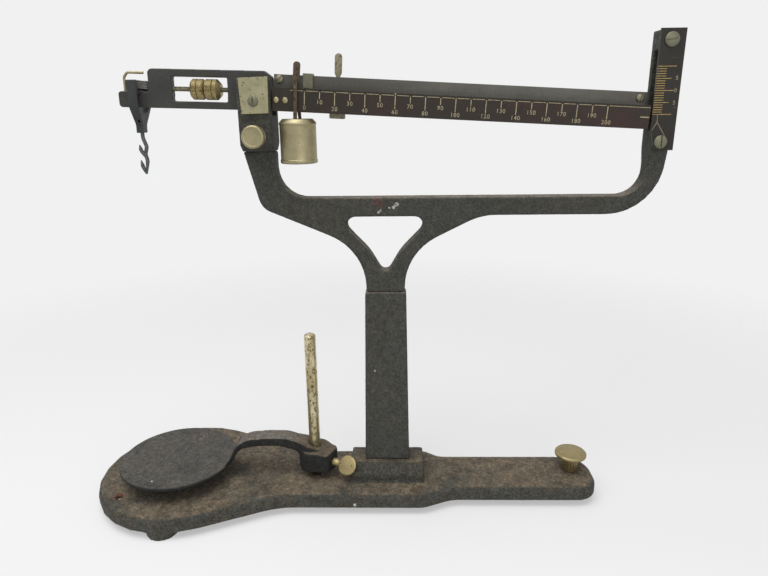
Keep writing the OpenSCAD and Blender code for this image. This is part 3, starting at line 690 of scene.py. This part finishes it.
def machined(node, width, look, segments):
    """A machined piece: the solid's shape with a small round on every edge."""
    bm = solid_copy(node)
    bmesh.ops.dissolve_limit(
        bm, angle_limit=math.radians(0.5), verts=bm.verts, edges=bm.edges,
        use_dissolve_boundaries=False,
    )
    sharp = [e for e in bm.edges if e.calc_face_angle(0.0) > math.radians(30)]
    bmesh.ops.bevel(
        bm, geom=sharp, offset=width * MM, offset_type="OFFSET", segments=segments, profile=0.5,
        affect="EDGES", clamp_overlap=True, material=-1,
    )
    shade(bm)
    mesh = to_mesh(bm, node + "_part")
    piece = add_piece(node + "_part", mesh, node, look, (node,))
    weighted = piece.modifiers.new("even_shading", "WEIGHTED_NORMAL")
    weighted.keep_sharp = True
    return piece


def turned(bm, profile, where, steps=96, rim=0.0):
    """Turns a profile, given as radius and height pairs, round an axis and puts it in place."""
    before = set(bm.verts)
    points = [bm.verts.new((r, 0, h)) for r, h in profile]
    edges = [bm.edges.new(pair) for pair in zip(points, points[1:])]
    bmesh.ops.spin(
        bm, geom=points + edges, axis=(0, 0, 1), cent=(0, 0, 0), angle=math.tau, steps=steps,
        use_merge=True,
    )
    fresh = [v for v in bm.verts if v not in before]
    bmesh.ops.remove_doubles(bm, verts=fresh, dist=1e-5)
    fresh = [v for v in bm.verts if v not in before]
    faces = list({f for v in fresh for f in v.link_faces})
    bmesh.ops.recalc_face_normals(bm, faces=faces)
    if rim:
        around = {e for f in faces for e in f.edges if e.calc_face_angle(0.0) > math.radians(28)}
        bmesh.ops.bevel(
            bm, geom=list(around), offset=rim, offset_type="OFFSET", segments=2, profile=0.5,
            affect="EDGES", clamp_overlap=True, material=-1,
        )
        fresh = [v for v in bm.verts if v not in before]
    bmesh.ops.transform(bm, matrix=where, verts=fresh)
    return fresh


def dent(verts, steps, every, above, depth):
    """Flutes or knurls: draws every so many of the turning's steps inwards, above a radius."""
    for v in verts:
        reach = math.hypot(v.co.x, v.co.y)
        if reach > above and round(math.atan2(v.co.y, v.co.x) / (math.tau / steps)) % every == 0:
            v.co.x *= 1 - depth / reach
            v.co.y *= 1 - depth / reach


def turned_piece(name, node, look, parts, replaces):
    """A piece made of turned parts; each part is a profile, a place and the round on its rims."""
    bm = bmesh.new()
    for profile, where, rim in parts:
        turned(bm, profile, where, 96, rim)
    shade(bm, 35)
    return add_piece(name, to_mesh(bm, name, MM), node, look, replaces)


def block(bm, low, high, where):
    """A plain block between two corners, in millimetres."""
    low, high = Vector(low), Vector(high)
    place = where @ Matrix.Translation((low + high) / 2) @ Matrix.Diagonal((*(high - low), 1.0))
    bmesh.ops.create_cube(bm, size=1.0, matrix=place)


def carved(mesh, name, cutter):
    """A mesh with a cutter's shape taken out of it."""
    tool = bpy.data.objects.new(name + "_cutter", cutter)
    bpy.context.scene.collection.objects.link(tool)
    settings = {"operation": "DIFFERENCE", "object": tool, "solver": "EXACT"}
    result = evaluated(name, mesh, [("BOOLEAN", settings)])
    bpy.data.objects.remove(tool)
    return result


CORNER_STEPS = 5


def wire(bm, path, radii, where, bend):
    """Adds a bent wire through points in millimetres, with a radius at each point; bend is how
    far from a corner its rounding starts."""
    points, sizes = [Vector(path[0])], [radii[0]]
    for k in range(1, len(path) - 1):
        before, corner, after = (Vector(path[k + i]) for i in (-1, 0, 1))
        into = corner + bend * (before - corner).normalized()
        out = corner + bend * (after - corner).normalized()
        for j in range(CORNER_STEPS + 1):
            t = j / CORNER_STEPS
            points.append(into.lerp(corner, t).lerp(corner.lerp(out, t), t))
            sizes.append(radii[k])
    points.append(Vector(path[-1]))
    sizes.append(radii[-1])
    curve = bpy.data.curves.new("wire", "CURVE")
    curve.dimensions = "3D"
    curve.bevel_depth = MM
    curve.bevel_resolution = 8
    curve.use_fill_caps = True
    spline = curve.splines.new("POLY")
    spline.points.add(len(points) - 1)
    for target, point, size in zip(spline.points, points, sizes):
        target.co = (*(where @ point * MM), 1.0)
        target.radius = size
    bm.from_mesh(evaluated("wire", curve))
    bmesh.ops.remove_doubles(bm, verts=bm.verts, dist=1e-7)
    shade(bm, 60)


# The plain font's size for a numeral that is 1 high
SIZE_OF_HEIGHT = 1.42


def numerals(bm, text, height, where):
    """A number as thin raised letters, added to a bmesh in millimetres."""
    curve = bpy.data.curves.new("number", "FONT")
    curve.body = text
    curve.size = height * SIZE_OF_HEIGHT
    curve.align_x = "CENTER"
    curve.align_y = "CENTER"
    curve.extrude = 0.03
    curve.resolution_u = 3
    curve.space_character = 1.12
    mesh = evaluated("number", curve)
    mesh.transform(where)
    bm.from_mesh(mesh)
    bpy.data.meshes.remove(mesh)


# ---------------------------------------------------------------- operators


class BALANCE_OT_castings(bpy.types.Operator):
    """Base, column, yoke, fork, platform and the beam's casting"""

    bl_idname = "balance.castings"
    bl_label = "Castings"

    def execute(self, context):
        s = context.scene.balance_castings
        casting("base", s.base_grain, 6, s.sand, finish(rusty_casting), 1)
        casting("column", s.frame_grain, 4, s.sand * 0.8, finish(enamel), 2)
        casting("yoke", s.frame_grain, 9, s.sand * 0.8, finish(enamel), 3)
        casting("fulcrum_fork", 0.6 * MM, 3, s.sand * 0.5, finish(enamel), 4)
        casting("platform", 0.7 * MM, 5, s.sand * 0.8, finish(grey_casting), 5)
        casting("beam_casting", s.fine_grain, 3, s.sand * 0.15, finish(black_casting), 6)
        return {"FINISHED"}


# Half outlines of the turned parts, as radius and height in millimetres
LEVELLING_NECK = [(0, 16.3), (5.6, 16.3), (5.6, 25.9), (0, 25.9)]
LEVELLING_STEM = [(0, 2.2), (2, 2.2), (2, 5), (4, 5), (4, 16.4), (0, 16.4)]
LEVELLING_COLLAR = [(0, 25.8), (7.6, 25.8), (7.6, 27.3), (0, 27.3)]
LEVELLING_HEAD = [
    (0, 27.2), (10.3, 27.2), (11.3, 28), (11.3, 29.6), (10.5, 30.4), (9.3, 30.3), (5, 31.1),
    (0, 31.2),
]
LEVELLING_PAD = [(0, 0), (7.4, 0), (8, 0.7), (8, 2.7), (6.5, 4.2), (2.2, 4.2)]
ROD = [(0, 7), (4, 7), (4, 124.1), (3.1, 125), (0, 125)]
FORK_KNOB = [
    (0, -20.8), (2.5, -20.8), (2.5, -9.7), (6.6, -9.7), (6.6, -7.4), (4.5, -7.4), (4.5, -5),
    (6.4, -5), (7, -4.4), (7, -0.9), (6.4, -0.2), (5.6, 0), (5.2, -0.25), (0, -0.35),
]
WEIGHT_LOW = -18.5 - 26.8
POISE_WEIGHT = [
    (0, WEIGHT_LOW + 9), (6, WEIGHT_LOW + 9), (6, WEIGHT_LOW), (11, WEIGHT_LOW),
    (11.6, WEIGHT_LOW + 0.5), (11.6, WEIGHT_LOW + 2.2), (11.25, WEIGHT_LOW + 2.6),
    (11.25, -22.2), (11.6, -21.6), (11.3, -20.6), (9.6, -18.7), (9, -18.5), (0, -18.5),
]


class BALANCE_OT_turned_parts(bpy.types.Operator):
    """Levelling screw and pad, rod, clamp screw of the fork and the large weight"""

    bl_idname = "balance.turned_parts"
    bl_label = "Turned parts"

    def execute(self, context):
        bm = bmesh.new()
        neck = turned(bm, LEVELLING_NECK, Matrix.Identity(4), 108)
        dent(neck, 108, 6, 5.0, 0.5)
        bmesh.ops.transform(bm, matrix=ON_LEVELLING, verts=neck)
        turned(bm, LEVELLING_STEM, ON_LEVELLING, 96, 0.3)
        turned(bm, LEVELLING_COLLAR, ON_LEVELLING, 96, 0.4)
        turned(bm, LEVELLING_HEAD, ON_LEVELLING, 96, 0.3)
        shade(bm, 35)
        mesh = to_mesh(bm, "levelling_screw", MM)
        add_piece(
            "levelling_screw_part", mesh, "levelling_screw", finish(brass), ("levelling_screw",)
        )
        knob = ON_STAND @ shift(FORK_X, -22, 259.5) @ FACING_READER
        for node, recipe, profile, place, rim in (
            ("levelling_foot", brass, LEVELLING_PAD, ON_LEVELLING, 0.25),
            ("rod", pitted_rod, ROD, shift(ROD_X, LINE_Y, 0), 0.3),
            ("fork_screw", nickel, FORK_KNOB, knob, 0.2),
            ("poise_weight", nickel, POISE_WEIGHT, ON_POISE @ shift(0, -8, 0), 0.25),
        ):
            parts = [(profile, place, rim)]
            turned_piece(node + "_part", node, finish(recipe), parts, (node,))
        return {"FINISHED"}


# The thread across the beam's window: its length, crest and root in millimetres, and its turns
THREAD_LENGTH = 42.5
THREAD_RADII = (1.28, 1.5)
THREAD_TURNS = 58

# The balance nuts: left and right end on the beam's casting, and the chamfers of the two ends
NUTS = (
    ("balance_nut_outer", -41.4, -33.2, 1.2, 0.8),
    ("balance_nut_inner", -32.8, -22.9, 0.8, 2.4),
)


class BALANCE_OT_balance_nuts(bpy.types.Operator):
    """Threaded rod in the beam's window and its two knurled nuts"""

    bl_idname = "balance.balance_nuts"
    bl_label = "Balance nuts"

    def execute(self, context):
        thread = [(0, 0)]
        for k in range(2 * THREAD_TURNS + 1):
            thread.append((THREAD_RADII[k % 2], k * (THREAD_LENGTH / THREAD_TURNS) / 2))
        thread.append((0, THREAD_LENGTH))
        place = ON_CASTING @ shift(-57.1, 0, NUT_Z) @ LYING_RIGHT
        parts = [(thread, place, 0.0)]
        turned_piece(
            "balance_rod_part", "balance_rod", finish(stained_steel), parts, ("balance_rod",)
        )
        for node, x0, x1, near, far in NUTS:
            long = x1 - x0
            profile = [
                (1.55, 0), (6.2 - near, 0), (6.2, near), (6.2, long * 0.46), (5.7, long * 0.5),
                (6.2, long * 0.54), (6.2, long - far), (6.2 - far, long), (1.55, long), (1.55, 0),
            ]
            bm = bmesh.new()
            dent(turned(bm, profile, Matrix.Identity(4), 144), 144, 3, 4.0, 0.3)
            place = ON_CASTING @ shift(x0, 0, NUT_Z) @ LYING_RIGHT
            bmesh.ops.transform(bm, matrix=place, verts=bm.verts)
            shade(bm, 30)
            add_piece(node + "_part", to_mesh(bm, node, MM), node, finish(brass), (node,))
        return {"FINISHED"}


class BALANCE_OT_platform_screw(bpy.types.Operator):
    """Spade thumb screw of the platform"""

    bl_idname = "balance.platform_screw"
    bl_label = "Thumb screw"

    def execute(self, context):
        out = shift(ROD_X, LINE_Y, 28.2) @ Matrix.Rotation(math.radians(-27), 4, "Z")
        along = out @ LYING_RIGHT
        leaf = out @ Matrix.Rotation(math.radians(52), 4, "X") @ shift(27.6, 0, -1.2)
        turned_piece(
            "platform_screw_part", "platform_screw", finish(brass),
            [
                ([(0, 4.3), (2, 4.3), (2, 21.6), (0, 21.6)], along, 0.2),
                ([(0, 16), (3.2, 16), (2.4, 21), (0, 21)], along, 0.4),
                ([(0, 0), (6.4, 0), (7.2, 0.6), (7.2, 1.8), (6.4, 2.4), (0, 2.4)], leaf, 0.3),
            ],
            ("platform_screw",),
        )
        return {"FINISHED"}


# Slotted screws: node, finish, and for each screw what it stands on, the place of its head's
# top, the way it faces, the head's radius and height, and the turn of its slot in degrees
SCREWS = (
    ("cover_screws", dull_plate, (
        (ON_STAND, (FORK_X, -14.8, 280.1), FACING_READER, 3.1, 1.3, 0),
        (ON_STAND, (FORK_X, 14.8, 280.1), FACING_REAR, 3.1, 1.3, 0),
    )),
    ("beam_screws", stained_steel, (
        (ON_BEAM, (13.6, -3.9, 9.4), FACING_READER, 2.5, 1.4, 35),
        (ON_BEAM, (235, -3.9, 8.6), FACING_READER, 2.5, 1.4, 20),
    )),
    ("plate_screws", dull_plate, (
        (ON_STAND, (169.4, -11.4, 312.2), FACING_READER, 4.3, 1.8, 80),
        (ON_STAND, (169.4, -11.4, 253.7), FACING_READER, 4.0, 1.8, 0),
    )),
)

RIVET = [(0, -17), (1.35, -17), (1.35, 0), (1.9, 0), (1.75, 0.45), (1.1, 0.8), (0, 0.9)]
FLUSH_RIVET = [(0, -17), (1.35, -17), (1.35, 0), (0, 0)]
RIVETS = ((12.6, RIVET), (18.2, RIVET), (233, FLUSH_RIVET))


class BALANCE_OT_small_screws(bpy.types.Operator):
    """Slotted screws of the covers, the top bar and the reading plate, and the rivets"""

    bl_idname = "balance.small_screws"
    bl_label = "Small screws"

    def execute(self, context):
        for node, recipe, screws in SCREWS:
            bm = bmesh.new()
            slots = bmesh.new()
            for base, head, facing, r, h, turn in screws:
                place = base @ shift(*head) @ facing
                profile = [
                    (0, -h - 3), (r * 0.4, -h - 3), (r * 0.4, -h), (r, -h), (r, -0.6 * h),
                    (r * 0.88, -0.3 * h), (r * 0.55, -0.06 * h), (0, 0),
                ]
                turned(bm, profile, place, 64, 0.08)
                slot = place @ Matrix.Rotation(math.radians(-turn), 4, "Z")
                block(slots, (-r * 0.12, -r * 1.3, -h * 0.55), (r * 0.12, r * 1.3, 1.0), slot)
            cutter = to_mesh(slots, node + "_slots", MM)
            mesh = carved(to_mesh(bm, node, MM), node + "_part", cutter)
            bm = bmesh.new()
            bm.from_mesh(mesh)
            shade(bm, 35)
            look = finish(recipe)
            add_piece(node + "_part", to_mesh(bm, node + "_part"), node, look, (node,))
        rivets = [
            (profile, ON_BEAM @ shift(x, FRONT_Y, RIVET_Z) @ FACING_READER, 0.1)
            for x, profile in RIVETS
        ]
        turned_piece("beam_rivets_part", "beam_rivets", finish(nickel), rivets, ("beam_rivets",))
        return {"FINISHED"}


# Path of the keeper wire, level on the beam, and its radius
KEEPER = [(-83.3, 0, -5.8), (-83.3, 0, 0.3), (-83.6, 0, 6.4), (-81.4, 0, 9.2), (-71.4, 0, 9.4)]
KEEPER_RADIUS = 0.8

# Paths of the double hook, its stem and its two barbs, each with the radius at every point
HOOK = (
    (
        [(0, 0, -22), (0, 0, -31), (1.8, 0, -36.4), (0.5, 0, -41), (1.3, 0, -45.4),
         (-0.2, 0, -53.6)],
        [1.2, 1.2, 1.2, 1.15, 1.2, 0.5],
    ),
    ([(-0.2, 0, -53.6), (-2.2, 0, -48.9), (-2.9, 0, -44.9)], [0.7, 1.2, 0.3]),
    ([(0.7, 0, -43), (-2.1, 0, -38.8), (-2.7, 0, -35.2)], [1.0, 1.2, 0.3]),
)


class BALANCE_OT_wires(bpy.types.Operator):
    """Keeper wire over the hanger and the double hook"""

    bl_idname = "balance.wires"
    bl_label = "Wires"

    def execute(self, context):
        bm = bmesh.new()
        wire(bm, KEEPER, [KEEPER_RADIUS] * len(KEEPER), ON_BEAM, 1.2)
        mesh = to_mesh(bm, "keeper_wire")
        add_piece("keeper_wire_bent", mesh, "keeper_wire", finish(nickel), ("keeper_wire",))
        bm = bmesh.new()
        for path, radii in HOOK:
            wire(bm, path, radii, ON_HANGER @ shift(-0.7, 0, 0), 1.0)
        add_piece("hook_wire", to_mesh(bm, "hook"), "hook", finish(dark_steel), ("hook",))
        return {"FINISHED"}


# Flat pieces: the round on their edges in millimetres, its steps, and their finishes
FLAT_NODES = (
    ("bearing_covers", 0.3, 2, specked_nickel),
    ("hanger", 0.25, 2, blued_steel),
    ("hanger_bearing", 0.12, 1, steel),
    ("poise_stirrup", 0.2, 2, brown_steel),
    ("rider", 0.2, 2, dull_plate),
    ("rear_poise", 0.4, 2, stained_steel),
    ("end_block", 0.3, 2, black_casting),
    ("top_bar", 0.2, 2, ruled_steel),
    ("reading_plate", 0.15, 2, black_plate),
)


class BALANCE_OT_flat_parts(bpy.types.Operator):
    """Plates, blocks and cheeks cut from flat stock"""

    bl_idname = "balance.flat_parts"
    bl_label = "Flat parts"

    def execute(self, context):
        for node, width, segments, recipe in FLAT_NODES:
            machined(node, width, finish(recipe), segments)
        for node, recipe in PLAIN_NODES.items():
            mesh = frame["nodes"][node].data
            mesh.materials.clear()
            mesh.materials.append(finish(recipe))
        return {"FINISHED"}


# The beam's lines, level on the beam: the line along the notches, the top of the graduations,
# and the feet of the long ones at each twenty and of the short ones between
STEPS = 20
NOTCH_LINE = (2.95, 3.3)
NOTCH_GAP = 0.9
LINE_TOP = 2.9
LONG_FOOT = -4.8
SHORT_FOOT = -1.2
STRIP_LEFT = 21.2
STRIP_RIGHT = 239.6

# The reading plate's lines on the stand: highest, lowest, left end, and the right end of the
# long, middle and short ones
PLATE_HIGH = 297.4
PLATE_LOW = 269.9
PLATE_LEFT = 162.75
PLATE_REACH = {10: 173.9, 5: 171.6, 1: 168.2}
PLATE_NUMERALS = (("5", 290.7), ("0", 283.6), ("5", 276.5))

# Scratches across the foot of the reading plate, each through points as X and Z on the stand
SCRATCHES = (
    ((165.8, 269.9), (166.1, 265.4), (163.6, 260.8)),
    ((166.1, 265.4), (167.6, 263.2), (173.7, 254.0)),
)


class BALANCE_OT_scale_marks(bpy.types.Operator):
    """Lines and numerals of the beam and of the reading plate"""

    bl_idname = "balance.scale_marks"
    bl_label = "Scale marks"

    def execute(self, context):
        s = context.scene.balance_marks
        pitch, zero, width, height = (v / MM for v in (s.pitch, s.zero, s.line, s.numeral))
        front = STRIP_Y - 0.06
        back = STRIP_Y + 0.02
        bm = bmesh.new()

        def strip_line(left, right, low, high):
            block(bm, (left, front, low), (right, back, high), ON_BEAM)

        for k in range(STEPS + 1):
            x = zero + k * pitch
            foot = LONG_FOOT if k % 2 == 0 else SHORT_FOOT
            strip_line(x - width / 2, x + width / 2, foot, LINE_TOP)
            face = ON_BEAM @ shift(x, back, foot - 1.9) @ FACING_READER
            numerals(bm, str(10 * k), height, face)
            if k < STEPS:
                strip_line(x + NOTCH_GAP, x + pitch - NOTCH_GAP, *NOTCH_LINE)
        strip_line(zero + STEPS * pitch + NOTCH_GAP, STRIP_RIGHT, *NOTCH_LINE)
        strip_line(STRIP_LEFT, zero - NOTCH_GAP, *NOTCH_LINE)
        strip_line(234.2, 239.7, -2.8, -2.2)
        add_piece("beam_marks", to_mesh(bm, "beam_marks", MM), "scale_strip", finish(cream_paint))

        bm = bmesh.new()
        for k in range(STEPS + 1):
            z = PLATE_HIGH - k * (PLATE_HIGH - PLATE_LOW) / STEPS
            reach = PLATE_REACH[10 if k % 10 == 0 else 5 if k % 5 == 0 else 1]
            low = (PLATE_LEFT, PLATE_Y - 0.05, z - 0.2)
            block(bm, low, (reach, PLATE_Y + 0.02, z + 0.2), ON_STAND)
        mesh = to_mesh(bm, "plate_lines", MM)
        add_piece("plate_lines", mesh, "reading_plate", finish(gold_paint))

        bm = bmesh.new()
        for text, z in PLATE_NUMERALS:
            face = ON_STAND @ shift(174.9, PLATE_Y + 0.02, z) @ FACING_READER
            numerals(bm, text, height * 0.92, face)
        mesh = to_mesh(bm, "plate_numerals", MM)
        add_piece("plate_numerals", mesh, "reading_plate", finish(cream_paint))

        bm = bmesh.new()
        for path in SCRATCHES:
            for a, b in zip(path, path[1:]):
                middle = shift((a[0] + b[0]) / 2, PLATE_Y, (a[1] + b[1]) / 2)
                along = Matrix.Rotation(-math.atan2(b[1] - a[1], b[0] - a[0]), 4, "Y")
                half = math.dist(a, b) / 2
                place = ON_STAND @ middle @ along
                block(bm, (-half, -0.04, -0.18), (half, 0.03, 0.18), place)
        mesh = to_mesh(bm, "plate_scratches", MM)
        add_piece("plate_scratches", mesh, "reading_plate", finish(pale_wear))
        return {"FINISHED"}


# Half the floor's side, and how far from the middle it starts and ends to let go, in metres
FLOOR_SIZE = 12.0
FLOOR_FADE = (0.3, 0.8)

# Each lamp's name, place and size in metres, and its share of the lamp's power
LAMPS = (
    ("lamp_above", (-0.25, -0.25, 1.3), 1.1, 1.0),
    ("lamp_front", (0.5, -1.3, 0.7), 1.0, 0.35),
)
LAMPS_AIM = Vector((0, 0, 0.12))

# The camera's place in millimetres, and how far it looks down, turns left and rolls, in degrees
CAMERA_PLACE = Vector((25.82, -394.9, 274.8))
CAMERA_TURN = (16.6, 1.3, 0.65)


class BALANCE_OT_stage(bpy.types.Operator):
    """Floor, backdrop, lights and camera"""

    bl_idname = "balance.stage"
    bl_label = "Stage"

    def execute(self, context):
        s = context.scene.balance_stage
        scene = context.scene
        scene.view_settings.view_transform = "Standard"
        white = (1, 1, 1, 1)

        bm = bmesh.new()
        bmesh.ops.create_grid(bm, x_segments=1, y_segments=1, size=FLOOR_SIZE)
        floor = bpy.data.objects.new("floor", to_mesh(bm, "floor"))
        scene.collection.objects.link(floor)
        f = Finish("floor_paper")
        paper = f.shader(s.floor[:], 0.9, specular=0.2)
        glow = f.node("ShaderNodeEmission", {}, {"Color": white, "Strength": 1.0})
        lift = f.seen_in_picture() * s.lift
        lifted = f.node("ShaderNodeMixShader", {}, {0: lift, 1: paper, 2: glow})
        away = f.node("ShaderNodeVectorMath", {"operation": "LENGTH"}, {0: f.place()}, "Value")
        gone = f.step(away, *FLOOR_FADE)
        clear = f.node("ShaderNodeBsdfTransparent")
        faded = f.node("ShaderNodeMixShader", {}, {0: gone, 1: lifted, 2: clear})
        f.close("ShaderNodeOutputMaterial", faded)
        floor.data.materials.append(f.material)

        scene.world = bpy.data.worlds.new("studio")
        scene.world.use_nodes = True
        w = Nodes(scene.world.node_tree)
        seen = w.seen_in_picture()
        light = w.node("ShaderNodeBackground", {}, {"Color": white, "Strength": s.sky})
        colour = (*s.backdrop, 1)
        backdrop = w.node("ShaderNodeBackground", {}, {"Color": colour, "Strength": 1.0})
        mix = w.node("ShaderNodeMixShader", {}, {0: seen, 1: light, 2: backdrop})
        w.close("ShaderNodeOutputWorld", mix)

        for name, place, size, share in LAMPS:
            lamp = bpy.data.lights.new(name, "AREA")
            lamp.shape = "SQUARE"
            lamp.size = size
            lamp.energy = s.lamp * share
            holder = bpy.data.objects.new(name, lamp)
            holder.location = place
            aim = LAMPS_AIM - Vector(place)
            holder.rotation_euler = aim.to_track_quat("-Z", "Y").to_euler()
            scene.collection.objects.link(holder)

        data = bpy.data.cameras.new("camera")
        data.sensor_width = 36
        data.lens = s.lens
        data.clip_start = 0.01
        camera = bpy.data.objects.new("camera", data)
        down, left, roll = (math.radians(a) for a in CAMERA_TURN)
        turn = Matrix.Rotation(left, 4, "Z") @ Matrix.Rotation(math.radians(90) - down, 4, "X")
        place = Matrix.Translation(CAMERA_PLACE * MM)
        camera.matrix_world = place @ turn @ Matrix.Rotation(-roll, 4, "Z")
        scene.collection.objects.link(camera)
        scene.camera = camera
        return {"FINISHED"}


OPERATORS = (
    BALANCE_OT_castings,
    BALANCE_OT_turned_parts,
    BALANCE_OT_balance_nuts,
    BALANCE_OT_platform_screw,
    BALANCE_OT_small_screws,
    BALANCE_OT_wires,
    BALANCE_OT_flat_parts,
    BALANCE_OT_scale_marks,
    BALANCE_OT_stage,
)


class BALANCE_PT_panel(bpy.types.Panel):
    """Lists the settings, and the pieces in the order in which they are made"""

    bl_idname = "BALANCE_PT_panel"
    bl_label = "Beam balance"
    bl_space_type = "VIEW_3D"
    bl_region_type = "UI"
    bl_category = "Balance"

    def draw(self, context):
        for attribute, group in SETTINGS.items():
            box = self.layout.box()
            for key in group.__annotations__:
                box.prop(getattr(context.scene, attribute), key)
        for operator in OPERATORS:
            self.layout.operator(operator.bl_idname)


def register():
    for cls in (*SETTINGS.values(), *OPERATORS, BALANCE_PT_panel):
        bpy.utils.register_class(cls)
    for attribute, group in SETTINGS.items():
        setattr(bpy.types.Scene, attribute, bpy.props.PointerProperty(type=group))


def unregister():
    for attribute in SETTINGS:
        delattr(bpy.types.Scene, attribute)
    for cls in reversed((*SETTINGS.values(), *OPERATORS, BALANCE_PT_panel)):
        bpy.utils.unregister_class(cls)


def main():
    register()
    for operator in OPERATORS:
        group, name = operator.bl_idname.split(".")
        getattr(getattr(bpy.ops, group), name)()


if __name__ == "__main__":
    main()
